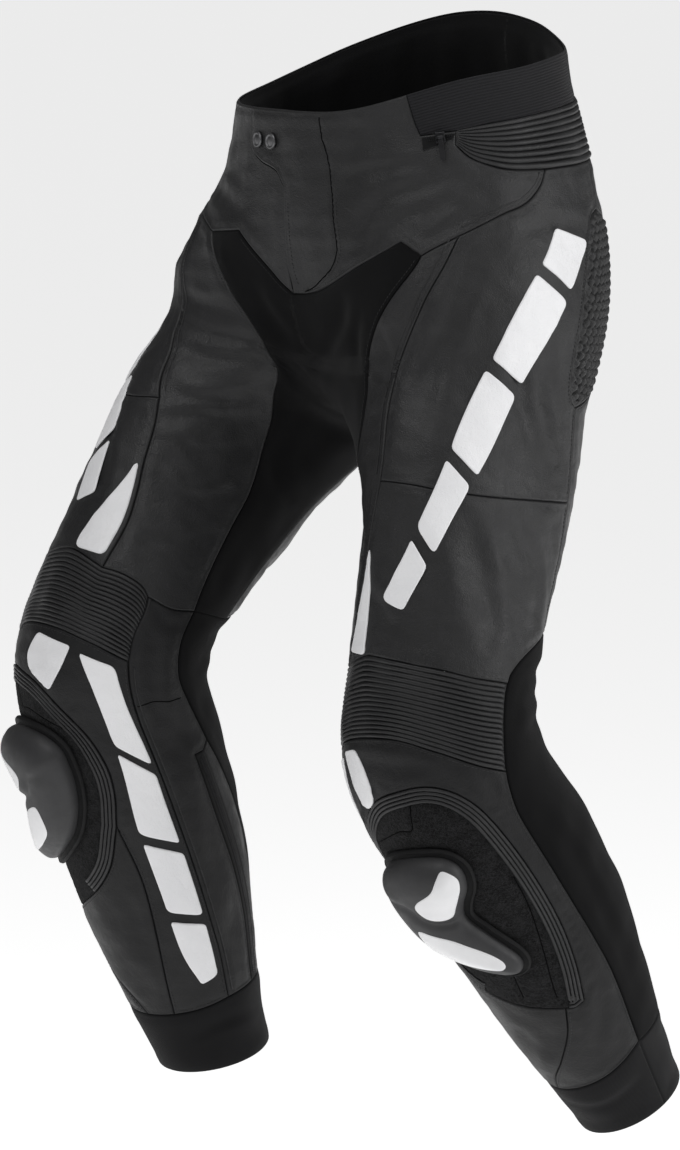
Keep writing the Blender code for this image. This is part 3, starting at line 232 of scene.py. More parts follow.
def make_grids():
    """Places and normals of the subdivided cage: the pelvis all round, and each leg."""
    bm = bmesh.new()
    uv = bm.loops.layers.uv.new("av")
    at = {}
    grow = 3 / (2 + math.cos(math.radians(30)))
    for leg in "LR":
        for row in range(len(PELVIS)):
            for col in range(HALF + 1):
                if leg == "R" and col in (0, HALF):
                    at["R", col, row] = at["L", col, row]
                else:
                    at[leg, col, row] = bm.verts.new(pelvis_point(row, col, leg) * MM)
        for i, (y, z) in enumerate(CROTCH):
            key = (HALF + 1 + i, CROTCH_V)
            at[(leg,) + key] = at[("L",) + key] if leg == "R" else bm.verts.new(Vector((0, y, z)) * MM)
        for i, ring in enumerate(LEG_RINGS):
            c, e1, e2, hw, hd, n = leg_ring(leg, ring)
            for col in range(COLS):
                th = math.radians(30 * col - 30)
                p = c + e1 * hw * grow * power(math.sin(th), n) + e2 * hd * grow * power(math.cos(th), n)
                at[leg, col, len(PELVIS) + i] = bm.verts.new(p * MM)
    for leg in "LR":
        for row in range(HEM_V):
            for col in range(HALF if row < CROTCH_V else COLS):
                ring = [(col, row), (col, row + 1), (col + 1, row + 1), (col + 1, row)]
                ring = ring if leg == "L" else ring[::-1]
                f = bm.faces.new([at[leg, a % COLS if v >= CROTCH_V else a, v] for a, v in ring])
                for loop, (a, v) in zip(f.loops, ring):
                    loop[uv].uv = (a + (0 if leg == "L" else 20), v)
    mesh = bpy.data.meshes.new("form")
    bm.to_mesh(mesh)
    bm.free()
    form = bpy.data.objects.new("form", mesh)
    bpy.context.scene.collection.objects.link(form)
    sub = form.modifiers.new("round", "SUBSURF")
    sub.levels = sub.render_levels = LEVELS
    sub.uv_smooth = "NONE"
    bpy.context.view_layer.update()
    fine = form.evaluated_get(bpy.context.evaluated_depsgraph_get()).to_mesh()
    co = np.array([v.co[:] for v in fine.vertices]) / MM
    no = np.array([v.normal[:] for v in fine.vertices])
    m = 2 ** LEVELS
    raw = {leg: np.full((HEM_V * m + 1, COLS * m, 6), np.nan) for leg in "LR"}
    for loop, at_uv in zip(fine.loops, fine.uv_layers[0].uv):
        a, v = at_uv.vector
        leg, a = ("R", a - 20) if a > 15 else ("L", a)
        i, j = round(v * m), round(a * m) % (COLS * m)
        raw[leg][i, j] = np.concatenate([co[loop.vertex_index], no[loop.vertex_index]])
    bpy.data.objects.remove(form, do_unlink=True)
    bpy.data.meshes.remove(mesh)
    top = CROTCH_V * m
    # the pelvis ring runs over both sides, columns -8 ... 8, with two rows more at each end
    cols = np.arange(-HALF * m, HALF * m)
    ring = np.where(cols[None, :, None] >= 0, raw["L"][:top + 3, np.abs(cols) % (COLS * m)],
                    raw["R"][:top + 3, np.abs(cols) % (COLS * m)])
    ring = np.concatenate([2 * ring[:1] - ring[2:0:-1], ring])
    legs = {}
    for leg in "LR":
        g = raw[leg][top:]
        above = 2 * g[:1] - g[2:0:-1]
        up = raw[leg][top - 2:top, :HALF * m + 1]
        above[:, :HALF * m + 1] = up
        legs[leg] = np.concatenate([above, g, 2 * g[-1:] - g[-2:-4:-1]])
    return ring, legs


RING, LEGS = make_grids()


def cubic(grid, i, j):
    """Smooth interpolation in a grid that wraps along its columns."""
    rows, cols = grid.shape[:2]
    i0, j0 = np.clip(np.floor(i).astype(int), 1, rows - 3), np.floor(j).astype(int)
    fi, fj = i - i0, j - j0
    out = 0.0
    wi = [-.5 * fi + fi ** 2 - .5 * fi ** 3, 1 - 2.5 * fi ** 2 + 1.5 * fi ** 3,
          .5 * fi + 2 * fi ** 2 - 1.5 * fi ** 3, -.5 * fi ** 2 + .5 * fi ** 3]
    wj = [-.5 * fj + fj ** 2 - .5 * fj ** 3, 1 - 2.5 * fj ** 2 + 1.5 * fj ** 3,
          .5 * fj + 2 * fj ** 2 - 1.5 * fj ** 3, -.5 * fj ** 2 + .5 * fj ** 3]
    for p in range(4):
        for q in range(4):
            out = out + (wi[p] * wj[q])[:, None] * grid[i0 + p - 1, (j0 + q - 1) % cols]
    return out


def on_form(leg, a, v):
    """Places (mm) and normals of the form at columns a, rings v."""
    a, v = np.broadcast_arrays(np.asarray(a, float), np.asarray(v, float))
    a, v = a.ravel(), np.clip(v.ravel(), 0, HEM_V)
    m = 2 ** LEVELS
    out = np.zeros((len(a), 6))
    low = v >= CROTCH_V - 1e-6
    if low.any():
        out[low] = cubic(LEGS[leg], (v[low] - CROTCH_V) * m + 2, a[low] * m)
    if (~low).any():
        s = 1 if leg == "L" else -1
        out[~low] = cubic(RING, v[~low] * m + 2, s * a[~low] * m + HALF * m)
    return out[:, :3], unit(out[:, 3:])


# ---- seams ------------------------------------------------------------------------
def eased(leg, av):
    av = np.array(av, float)
    k = av[:, 1] > CROTCH_V
    av[k, 1] += KNEE_EASE[leg] * np.exp(-((av[k, 1] - 10) / 2.2) ** 2)
    return av


def curve(points, count=24):
    """A smooth curve through a few points, as a dense line."""
    p = np.array(points, float)
    if len(p) == 2:
        return p[0] + (p[1] - p[0]) * np.linspace(0, 1, count + 1)[:, None]
    p = np.concatenate([[2 * p[0] - p[1]], p, [2 * p[-1] - p[-2]]])
    t = np.arange(count)[:, None] / count
    line = [0.5 * (2 * p[i] + (p[i + 1] - p[i - 1]) * t + (2 * p[i - 1] - 5 * p[i] + 4 * p[i + 1] - p[i + 2]) * t * t
                   + (3 * p[i] - p[i - 1] - 3 * p[i + 1] + p[i + 2]) * t ** 3) for i in range(1, len(p) - 2)]
    return np.concatenate(line + [p[-2:-1]])


def spaced(leg, line, step=EDGE, count=None):
    place = on_form(leg, line[:, 0], line[:, 1])[0]
    run = np.concatenate([[0], np.cumsum(np.linalg.norm(np.diff(place, axis=0), axis=1))])
    count = count or max(2, round(run[-1] / step))
    want = np.linspace(0, run[-1], count + 1)
    return np.stack([np.interp(want, run, line[:, 0]), np.interp(want, run, line[:, 1])], axis=1)


DONE = {}


def seam(leg, name):
    if (leg, name) not in DONE:
        pts = SEAMS[name]
        pts = pts[leg] if isinstance(pts, dict) else pts
        DONE[leg, name] = spaced(leg, eased(leg, curve(pts)))
    return DONE[leg, name]


def outline(leg, names):
    loop = []
    for item in names:
        back, item = item.startswith("-"), item.lstrip("-")
        item, _, shift = item.partition("+")
        pts = seam(leg, item) + [float(shift or 0), 0]
        pts = pts[::-1] if back else pts
        if loop and np.abs(loop[-1][-1] - pts[0]).max() > 1e-4:
            raise ValueError(f"{leg} {item}: seams do not meet")
        loop.append(pts if not loop else pts[1:])
    return np.concatenate(loop)[:-1]


# ---- creases, listed one by one ---------------------------------------------------
# leg, points in (column, ring), width in mm, depth in mm (minus: a trough), and how
# far a ridge stands beside it
CREASES = [
    # across the front of the yoke, from the hip down to the fly
    ("L", [(.89, 1.31), (1.38, 1.22), (1.84, 1.26), (2.30, 1.33), (2.80, 1.42)], 6.5, -1.5, .9),
    ("L", [(1.10, 2.18), (1.71, 1.80), (2.17, 1.68), (2.70, 1.64), (3.30, 1.68)], 9.0, -2.1, 1.5),
    ("L", [(1.35, 2.44), (1.81, 2.20), (2.27, 2.05), (2.80, 1.99)], 7.0, -1.5, 1.2),
    ("L", [(2.12, 2.62), (2.48, 2.46), (2.80, 2.32), (3.25, 2.24)], 5.0, -1.2, .9),
    ("R", [(.95, 1.45), (1.45, 1.40), (2.0, 1.46), (2.6, 1.50)], 7.0, -1.5, .9),
    ("R", [(.75, 2.25), (1.3, 1.95), (1.95, 1.82), (2.8, 1.74)], 9.0, -2.0, 1.3),
    ("R", [(1.3, 2.62), (1.8, 2.40), (2.5, 2.22), (3.2, 2.05)], 6.0, -1.4, 1.0),
    # the left thigh: long soft folds down its front and its outer side
    ("L", [(2.98, 2.72), (2.70, 3.57), (2.52, 4.32), (2.18, 5.30), (1.75, 6.1)], 9.5, -2.4, 1.6),
    ("L", [(2.36, 3.05), (2.20, 3.88), (1.98, 4.65), (1.55, 5.42)], 7.0, -1.4, 1.1),
    ("L", [(3.78, 4.55), (3.80, 5.02), (3.95, 5.46), (4.38, 5.95)], 9.0, -2.3, 1.7),
    ("L", [(4.20, 4.0), (4.30, 4.72), (4.50, 5.25), (4.70, 5.9)], 7.0, -1.5, 1.2),
    ("L", [(3.60, 2.7), (4.1, 2.55), (4.7, 2.62), (5.1, 2.9)], 7.5, -1.7, 1.0),
    ("L", [(1.25, 6.75), (1.75, 7.35), (2.05, 8.1), (2.2, 8.95)], 11.0, -2.2, 1.4),
    ("L", [(2.7, 6.9), (3.05, 7.6), (3.25, 8.5), (3.15, 9.2)], 10.0, -2.6, 1.8),
    ("L", [(3.7, 6.85), (4.2, 7.3), (4.5, 8.0), (4.4, 8.7)], 9.0, -2.0, 1.5),
    ("L", [(.2, 7.9), (.7, 8.25), (1.15, 8.8)], 7.0, -1.3, .9),
    ("L", [(1.25, 4.0), (1.50, 4.35), (1.62, 4.95), (1.52, 5.4)], 5.0, -1.1, .7),
    ("L", [(-.9, 6.5), (-.35, 6.9), (-.1, 7.5)], 8.0, -1.5, 1.0),
    ("L", [(-1.9, 7.6), (-1.3, 8.1), (-.8, 8.9)], 8.0, -1.6, 1.0),
    # the right thigh: arcs across its front, drawn in from the gusset
    ("R", [(1.25, 2.95), (1.12, 3.50), (.90, 3.95)], 6.0, -1.3, .9),
    ("R", [(1.90, 4.58), (1.30, 4.68), (.93, 4.50), (.60, 4.14)], 7.0, -1.7, 1.2),
    ("R", [(1.62, 5.15), (1.02, 5.20), (.62, 5.05), (.30, 4.80)], 6.0, -1.3, .9),
    ("R", [(1.36, 5.58), (.72, 5.66), (.30, 5.56), (.10, 5.28)], 6.5, -1.8, 1.3),
    ("R", [(.20, 6.34), (-.35, 6.31), (-.75, 6.12), (-.83, 5.82), (-.66, 5.52)], 6.5, -2.0, 1.4),
    ("R", [(-.15, 6.85), (-.60, 6.56), (-1.03, 6.32), (-1.45, 6.03)], 5.5, -1.7, 1.2),
    ("R", [(-.48, 7.05), (-1.03, 6.97), (-1.39, 6.78), (-1.78, 6.35)], 5.5, -1.7, 1.2),
    ("R", [(-.22, 7.10), (-.62, 7.22), (-1.12, 7.38)], 5.5, -1.4, 1.0),
    ("R", [(-.62, 7.55), (-1.12, 7.72), (-1.65, 7.55), (-2.05, 7.1)], 6.5, -1.8, 1.2),
    ("R", [(-.72, 8.4), (-1.2, 8.5), (-1.75, 8.3), (-2.25, 7.8)], 7.0, -1.6, 1.0),
    ("R", [(1.5, 6.95), (1.0, 7.3), (.55, 7.8), (.25, 8.5)], 7.0, -1.4, 1.0),
    ("R", [(2.9, 3.0), (2.75, 3.9), (2.55, 4.8), (2.3, 5.9)], 10.0, -2.3, 1.6),
    ("R", [(3.9, 4.4), (3.95, 5.0), (4.1, 5.6), (4.5, 6.1)], 9.0, -2.1, 1.5),
    ("R", [(2.9, 6.9), (3.2, 7.7), (3.3, 8.6), (3.1, 9.3)], 10.0, -2.5, 1.7),
    # the gusset, gathered at the crotch
    ("L", [(.9, 3.5), (.75, 4.1), (.35, 4.7), (.05, 5.0)], 8.0, -2.0, 1.2),
    ("R", [(.55, 3.6), (.40, 4.2), (.15, 4.75)], 8.0, -1.7, 1.0),
    ("L", [(1.18, 3.86), (1.03, 4.34), (.95, 4.80), (.80, 5.2)], 6.0, -1.6, 1.0),
    ("L", [(.0, 5.35), (-1.0, 5.75), (-2.0, 5.9), (-3.0, 5.7)], 9.0, -2.4, 1.4),
    ("R", [(-.4, 5.05), (-1.2, 5.45), (-2.2, 5.6), (-3.1, 5.5)], 9.0, -2.4, 1.4),
    ("L", [(-1.5, 6.3), (-2.2, 6.8), (-3.1, 6.9)], 8.0, -2.0, 1.2),
    ("R", [(-1.9, 6.1), (-2.5, 6.5), (-3.2, 6.6)], 8.0, -2.0, 1.2),
    # behind: under the seat and at the back of the knees
    ("L", [(7.6, 3.4), (6.9, 3.8), (6.3, 4.7), (6.0, 5.4)], 9.0, -2.4, 1.6),
    ("R", [(7.6, 3.3), (6.8, 3.9), (6.2, 4.9), (5.9, 5.6)], 9.0, -2.4, 1.6),
    ("L", [(7.9, 4.3), (7.2, 4.9), (6.6, 5.5), (5.9, 5.9)], 9.0, -2.8, 1.8),
    ("R", [(7.9, 4.3), (7.2, 5.0), (6.5, 5.5), (5.8, 5.8)], 9.0, -2.8, 1.8),
    ("L", [(5.7, 7.7), (6.5, 7.95), (7.4, 7.85), (8.0, 7.6)], 8.0, -2.4, 1.5),
    ("R", [(5.7, 7.6), (6.5, 7.85), (7.3, 7.75), (8.0, 7.5)], 8.0, -2.4, 1.5),
    ("L", [(4.3, 9.9), (5.4, 9.55), (6.6, 9.6), (7.8, 9.8), (8.6, 10.2)], 8.0, -2.8, 1.8),
    ("R", [(4.3, 9.9), (5.4, 9.55), (6.6, 9.6), (7.8, 9.8), (8.6, 10.2)], 8.0, -2.8, 1.8),
    ("L", [(4.1, 10.5), (5.2, 10.3), (6.5, 10.4), (7.8, 10.6), (8.7, 11.0)], 7.0, -2.3, 1.5),
    ("R", [(4.2, 10.6), (5.2, 10.3), (6.5, 10.3), (7.8, 10.6), (8.7, 11.0)], 7.0, -2.3, 1.5),
    ("L", [(3.75, 11.3), (4.8, 11.1), (6.1, 11.2), (7.3, 11.5)], 8.0, -1.9, 1.2),
    ("R", [(3.9, 11.5), (4.9, 11.2), (6.1, 11.2), (7.3, 11.6)], 8.0, -1.9, 1.2),
    # the shins and calves
    ("L", [(3.4, 12.6), (3.7, 13.6), (3.7, 14.7), (3.9, 15.7)], 9.0, -1.3, .8),
    ("L", [(2.55, 11.35), (2.85, 11.75), (2.95, 12.2)], 5.0, -1.0, .9),
    ("L", [(.3, 11.05), (1.3, 11.15), (2.1, 11.45)], 7.0, -1.0, .8),
    ("R", [(-1.7, 10.1), (-2.0, 10.7), (-2.1, 11.6), (-2.3, 12.6)], 8.0, -1.6, 1.1),
    ("R", [(-1.75, 9.75), (-2.1, 10.0), (-2.5, 9.95)], 5.5, -1.5, 1.0),
    ("R", [(-.4, 14.8), (-.6, 15.4), (-.55, 16.2)], 8.0, -1.2, .8),
    ("L", [(.6, 15.6), (.35, 16.1), (-.1, 16.5)], 8.0, -1.2, .8),
    ("L", [(3.0, 15.2), (2.6, 15.9), (2.0, 16.5)], 7.0, -1.1, .8),
    ("L", [(5.5, 13.6), (6.4, 14.2), (7.3, 14.4)], 9.0, -1.4, .9),
    ("R", [(5.5, 13.4), (6.4, 14.0), (7.3, 14.3)], 9.0, -1.4, .9),
    ("L", [(0, 17.35), (1.6, 17.45), (3.0, 17.3)], 5.0, -.9, .7),
    ("R", [(-3.6, 17.4), (-2.2, 17.3), (-.8, 17.45)], 5.0, -.9, .7),
]


def crease_field(place, normal):
    """How far each point of the cloth moves out or in, in mm, for its creases."""
    h = np.zeros(len(place))
    for leg, pts, width, depth, ridge in CREASES:
        line = curve(eased(leg, pts), 10)
        q, _ = on_form(leg, line[:, 0], line[:, 1])
        reach = width * 3.2
        near = np.where(((place > q.min(0) - reach) & (place < q.max(0) + reach)).all(1))[0]
        if not len(near):
            continue
        p = place[near]
        best, side, along = np.full(len(p), 1e9), np.zeros(len(p)), np.zeros(len(p))
        for k in range(len(q) - 1):
            d = q[k + 1] - q[k]
            t = np.clip(((p - q[k]) @ d) / (d @ d), 0, 1)
            off = p - q[k] - t[:, None] * d
            far = np.linalg.norm(off, axis=1)
            new = far < best
            best[new] = far[new]
            side[new] = np.sign((np.cross(d, off[new]) * normal[near][new]).sum(1))
            along[new] = (k + t[new]) / (len(q) - 1)
        s = best * side
        fade = np.clip(np.sin(np.pi * np.clip(along, 0, 1)), 0, 1) ** .6 * np.exp(-(np.maximum(0, best - width) / width) ** 2 * .3)
        h[near] += fade * (depth * np.exp(-(s / width) ** 2)
                           + ridge * np.exp(-((s - 1.7 * width) / width) ** 2))
    return h


def waves(place, size, count, seed):
    """Soft unevenness: a sum of plane waves, the same each run."""
    rng = np.random.default_rng(seed)
    h = np.zeros(len(place))
    for _ in range(count):
        k = rng.normal(size=3)
        k = k / np.linalg.norm(k) * 2 * math.pi / (size * rng.uniform(.6, 1.7))
        h += np.sin(place @ k + rng.uniform(0, 6.28))
    return h / math.sqrt(count / 2)


# ---- cloth --------------------------------------------------------------------------
def inside(points, poly):
    hit = np.zeros(len(points), bool)
    x, y = points[:, 0], points[:, 1]
    nxt = np.roll(poly, -1, axis=0)
    for (x1, y1), (x2, y2) in zip(poly, nxt):
        if y1 == y2:
            continue
        cross = ((y1 > y) != (y2 > y)) & (x < (x2 - x1) * (y - y1) / (y2 - y1) + x1)
        hit ^= cross
    return hit


def to_edge(points, poly, shut=True):
    best = np.full(len(points), 1e9)
    nxt = np.roll(poly, -1, axis=0)
    for p1, p2 in list(zip(poly, nxt))[:None if shut else -1]:
        d = p2 - p1
        t = np.clip(((points - p1) @ d) / max(d @ d, 1e-9), 0, 1)
        best = np.minimum(best, np.linalg.norm(points - p1 - t[:, None] * d, axis=1))
    return best


class Flat:
    """A panel's outline laid flat, in millimetres, and back."""

    def __init__(self, leg, loop):
        self.mid = (loop[:, 0].min() + loop[:, 0].max()) / 2
        self.v = np.linspace(loop[:, 1].min(), loop[:, 1].max(), 25)
        across, down = [], []
        for a in np.linspace(loop[:, 0].min(), loop[:, 0].max(), 7)[1:-1]:
            p0 = on_form(leg, np.full(25, a - .05), self.v)[0]
            p1 = on_form(leg, np.full(25, a + .05), self.v)[0]
            across.append(np.linalg.norm(p1 - p0, axis=1) / .1)
            mid = on_form(leg, np.full(25, a), self.v)[0]
            down.append(np.concatenate([[0], np.cumsum(np.linalg.norm(np.diff(mid, axis=0), axis=1))]))
        self.width, self.down = np.mean(across, axis=0), np.mean(down, axis=0)

    def to(self, av):
        return np.stack([(av[:, 0] - self.mid) * np.interp(av[:, 1], self.v, self.width),
                         np.interp(av[:, 1], self.v, self.down)], axis=1)

    def back(self, xy):
        v = np.interp(xy[:, 1], self.down, self.v)
        return np.stack([xy[:, 0] / np.interp(v, self.v, self.width) + self.mid, v], axis=1)


RINGS = (0.45, 1.1, 1.9, 2.8)


def fill(leg, loop, step=STEP, rings=RINGS, join_from=None):
    """Triangles over a closed outline. Returns (a, v), faces, mm from the edge, flat (x, y).

    From point join_from on, the outline is a join with another half and not an edge."""
    flat = Flat(leg, loop)
    poly = flat.to(loop)
    turn = np.sign(np.sum(poly[:, 0] * np.roll(poly[:, 1], -1) - np.roll(poly[:, 0], -1) * poly[:, 1]))
    fore, aft = unit(np.roll(poly, -1, axis=0) - poly), unit(poly - np.roll(poly, 1, axis=0))
    n1, n2 = np.stack([-fore[:, 1], fore[:, 0]], 1) * turn, np.stack([-aft[:, 1], aft[:, 0]], 1) * turn
    mitre = (n1 + n2) / np.maximum(.5, 1 + (n1 * n2).sum(1))[:, None]
    real = poly if join_from is None else poly[:join_from + 1]
    shut = join_from is None
    parts, dist = [poly], [to_edge(poly, real, shut) if not shut else np.zeros(len(poly))]
    for d in rings:
        q = (poly + mitre * d)[:len(real)]
        far = to_edge(q, real, shut)
        ok = inside(q, poly) & (far > .8 * d)
        parts.append(q[ok])
        dist.append(far[ok])
    last = (rings[-1] if rings else 0) + .55 * step
    lo, hi = poly.min(0), poly.max(0)
    rows = max(1, round((hi[1] - lo[1]) / (step * .87)))
    cols = max(1, round((hi[0] - lo[0]) / step))
    gx, gy = np.meshgrid(np.arange(cols + 1), np.arange(1, rows))
    q = np.stack([lo[0] + (hi[0] - lo[0]) * (gx + .5 * (gy % 2)) / cols, lo[1] + (hi[1] - lo[1]) * gy / rows], -1).reshape(-1, 2)
    q = q[inside(q, poly)]
    if len(q):
        far = to_edge(q, poly)
        keep = far > (last if shut else .55 * step)
        q, far = q[keep], to_edge(q[keep], real, shut)
        parts.append(q[far > last])
        dist.append(far[far > last])
    xy, dist = np.concatenate(parts), np.concatenate(dist)
    edges = [(i, (i + 1) % len(poly)) for i in range(len(poly))]
    _, _, faces, source, _, _ = delaunay_2d_cdt([Vector(p) for p in xy], edges, [], 1, 1e-7)
    faces = np.array([[source[i][0] for i in f] for f in faces], int)
    av = flat.back(xy)
    av[:len(loop)] = loop
    return av, faces, dist, xy


def rim_of(faces):
    e = np.concatenate([faces[:, [0, 1]], faces[:, [1, 2]], faces[:, [2, 0]]])
    key = np.sort(e, axis=1)
    _, index, count = np.unique(key, axis=0, return_inverse=True, return_counts=True)
    return e[count[index.reshape(-1)] == 1]


class Sheet:
    """A panel on the form: places, normals, triangles, mm from its edge, flat places."""

    def __init__(self, leg, av, faces, dist, xy):
        self.leg, self.av, self.faces, self.dist, self.xy = np.array([leg] * len(av)), av, faces, dist, xy
        self.place, self.normal = on_form(leg, av[:, 0], av[:, 1])
        self.turn()

    def turn(self):
        p, f = self.place, self.faces
        up = (np.cross(p[f[:, 1]] - p[f[:, 0]], p[f[:, 2]] - p[f[:, 0]]) * self.normal[f[:, 0]]).sum(1)
        self.faces = np.where((up < 0)[:, None], f[:, ::-1], f)

    def weld(self, other=None):
        """Points in the same place made one, across a closing seam or with another sheet."""
        if other is not None:
            n = len(self.place)
            self.faces = np.concatenate([self.faces, other.faces + n])
            for k in ("leg", "av", "dist", "xy", "place", "normal"):
                setattr(self, k, np.concatenate([getattr(self, k), getattr(other, k)]))
        _, first, index = np.unique(np.round(self.place, 2), axis=0, return_index=True, return_inverse=True)
        self.faces = index.reshape(-1)[self.faces]
        for k in ("leg", "av", "dist", "xy", "place", "normal"):
            setattr(self, k, getattr(self, k)[first])
        return self

    def area(self):
        p, f = self.place, self.faces
        return float(np.linalg.norm(np.cross(p[f[:, 1]] - p[f[:, 0]], p[f[:, 2]] - p[f[:, 0]]), axis=1).sum() / 2)


def inset(sheet, by):
    """The sheet's places, with its edge drawn in along the surface."""
    out = sheet.place.copy()
    rim = rim_of(sheet.faces)
    after, before = dict(rim.tolist()), {b: a for a, b in rim.tolist()}
    idx = np.array([i for i in after if i in before])
    a, b = np.array([after[i] for i in idx]), np.array([before[i] for i in idx])
    p, n = sheet.place, sheet.normal[idx]
    i1, i2 = unit(np.cross(n, p[idx] - p[b])), unit(np.cross(n, p[a] - p[idx]))
    out[idx] += (i1 + i2) * by / np.maximum(.5, 1 + (i1 * i2).sum(1))[:, None]
    return out


def new_object(name, verts, faces, mat, uv=None):
    mesh = bpy.data.meshes.new(name)
    mesh.vertices.add(len(verts))
    mesh.vertices.foreach_set("co", (np.asarray(verts, np.float32) * np.float32(MM)).ravel())
    sizes = np.array([len(f) for f in faces], np.int32) if not isinstance(faces, np.ndarray) else np.full(len(faces), faces.shape[1], np.int32)
    flat = np.concatenate([np.asarray(f, np.int32) for f in faces]) if not isinstance(faces, np.ndarray) else faces.astype(np.int32).ravel()
    mesh.loops.add(len(flat))
    mesh.loops.foreach_set("vertex_index", flat)
    mesh.polygons.add(len(sizes))
    mesh.polygons.foreach_set("loop_start", np.concatenate([[0], np.cumsum(sizes)[:-1]]).astype(np.int32))
    mesh.polygons.foreach_set("loop_total", sizes)
    mesh.update(calc_edges=True)
    if uv is not None:
        layer = mesh.uv_layers.new(name="flat")
        layer.data.foreach_set("uv", (np.asarray(uv, np.float32)[flat] * np.float32(MM)).ravel())
    mesh.materials.append(mat)
    mesh.shade_smooth()
    obj = bpy.data.objects.new(name, mesh)
    bpy.context.scene.collection.objects.link(obj)
    return obj


HEIGHTS = []          # (places on the form, heights) of every panel, for what lies on them


def cloth(name, sheet, mat, wall=1.3, height=None, lift=0.0, gap=SEAM_GAP / 2, back_step=None, look="leather"):
    """A closed thin shell of the sheet, moved by its height, on the form."""
    base = inset(sheet, gap)
    h = np.zeros(len(base)) if height is None else height(sheet)
    h = h + (lift(sheet) if callable(lift) else lift)
    outer = base + sheet.normal * h[:, None]
    HEIGHTS.append((sheet.place, h))
    inner = outer - sheet.normal * wall
    rim = rim_of(sheet.faces)
    n = len(outer)
    tri = np.concatenate([sheet.faces, sheet.faces[:, ::-1] + n,
                          np.stack([rim[:, 1], rim[:, 0], rim[:, 0] + n], 1), np.stack([rim[:, 1], rim[:, 0] + n, rim[:, 1] + n], 1)])
    obj = new_object(name + "_cloth", np.concatenate([outer, inner]), tri, mat, np.concatenate([sheet.xy, sheet.xy]))
    mesh = obj.data
    mesh.set_sharp_from_angle(angle=math.radians(62))
    return obj


# ---- materials ----------------------------------------------------------------------
def node_material(name, colour, rough, metal=0.0, spec=0.5, sheen=0.0, sheen_rough=0.5, coat=0.0, coat_rough=0.2):
    mat = bpy.data.materials.new(name)
    mat.use_nodes = True
    bsdf = mat.node_tree.nodes["Principled BSDF"]
    bsdf.inputs["Base Color"].default_value = (*colour, 1)
    bsdf.inputs["Roughness"].default_value = rough
    bsdf.inputs["Metallic"].default_value = metal
    bsdf.inputs["Specular IOR Level"].default_value = spec
    bsdf.inputs["Sheen Weight"].default_value = sheen
    bsdf.inputs["Sheen Roughness"].default_value = sheen_rough
    bsdf.inputs["Coat Weight"].default_value = coat
    bsdf.inputs["Coat Roughness"].default_value = coat_rough
    return mat, Nodes(mat.node_tree, bsdf)


class Nodes:
    """Short calls to build one material's nodes."""

    def __init__(self, tree, bsdf):
        self.tree, self.bsdf = tree, bsdf
        self.where = self.new("ShaderNodeTexCoord").outputs["Object"]
        self.flat = None

    def new(self, kind, **sets):
        node = self.tree.nodes.new(kind)
        for key, value in sets.items():
            setattr(node, key, value)
        return node

    def link(self, a, b):
        self.tree.links.new(a, b)

    def uv(self):
        if self.flat is None:
            self.flat = self.new("ShaderNodeUVMap", uv_map="flat").outputs["UV"]
        return self.flat

    def mapped(self, source, scale=(1, 1, 1), turn=0.0):
        node = self.new("ShaderNodeMapping")
        node.inputs["Scale"].default_value = scale
        node.inputs["Rotation"].default_value = (0, 0, math.radians(turn))
        self.link(source, node.inputs["Vector"])
        return node.outputs["Vector"]

    def noise(self, scale, detail=3.0, rough=.55, source=None, distort=0.0):
        node = self.new("ShaderNodeTexNoise")
        node.inputs["Scale"].default_value, node.inputs["Detail"].default_value = scale, detail
        node.inputs["Roughness"].default_value, node.inputs["Distortion"].default_value = rough, distort
        self.link(source or self.where, node.inputs["Vector"])
        return node.outputs["Fac"]

    def cells(self, scale, feature="F1", source=None, smoothness=.4):
        node = self.new("ShaderNodeTexVoronoi", feature=feature)
        node.inputs["Scale"].default_value = scale
        if feature == "SMOOTH_F1":
            node.inputs["Smoothness"].default_value = smoothness
        self.link(source or self.where, node.inputs["Vector"])
        return node.outputs["Distance"]

    def ramp(self, source, lo, hi, a=0.0, b=1.0):
        node = self.new("ShaderNodeMapRange")
        node.inputs["From Min"].default_value, node.inputs["From Max"].default_value = lo, hi
        node.inputs["To Min"].default_value, node.inputs["To Max"].default_value = a, b
        self.link(source, node.inputs["Value"])
        return node.outputs["Result"]

    def math(self, op, a, b=0.0):
        node = self.new("ShaderNodeMath", operation=op)
        for k, value in enumerate((a, b)):
            if isinstance(value, (int, float)):
                node.inputs[k].default_value = value
            else:
                self.link(value, node.inputs[k])
        return node.outputs[0]

    def blend_colour(self, fac, a, b, target="Base Color"):
        node = self.new("ShaderNodeMix", data_type="RGBA")
        node.inputs["A"].default_value, node.inputs["B"].default_value = (*a, 1), (*b, 1)
        self.link(fac, node.inputs["Factor"])
        if target:
            self.link(node.outputs["Result"], self.bsdf.inputs[target])
        return node.outputs["Result"]

    def bumps(self, *layers):
        """Each layer is (height, strength, depth in metres); the last is the finest."""
        last = None
        for height, strength, depth in layers:
            node = self.new("ShaderNodeBump")
            node.inputs["Strength"].default_value, node.inputs["Distance"].default_value = strength, depth
            self.link(height, node.inputs["Height"])
            if last is not None:
                self.link(last, node.inputs["Normal"])
            last = node.outputs["Normal"]
        self.link(last, self.bsdf.inputs["Normal"])

    def rough(self, source, a, b, lo=.3, hi=.7):
        self.link(self.ramp(source, lo, hi, a, b), self.bsdf.inputs["Roughness"])


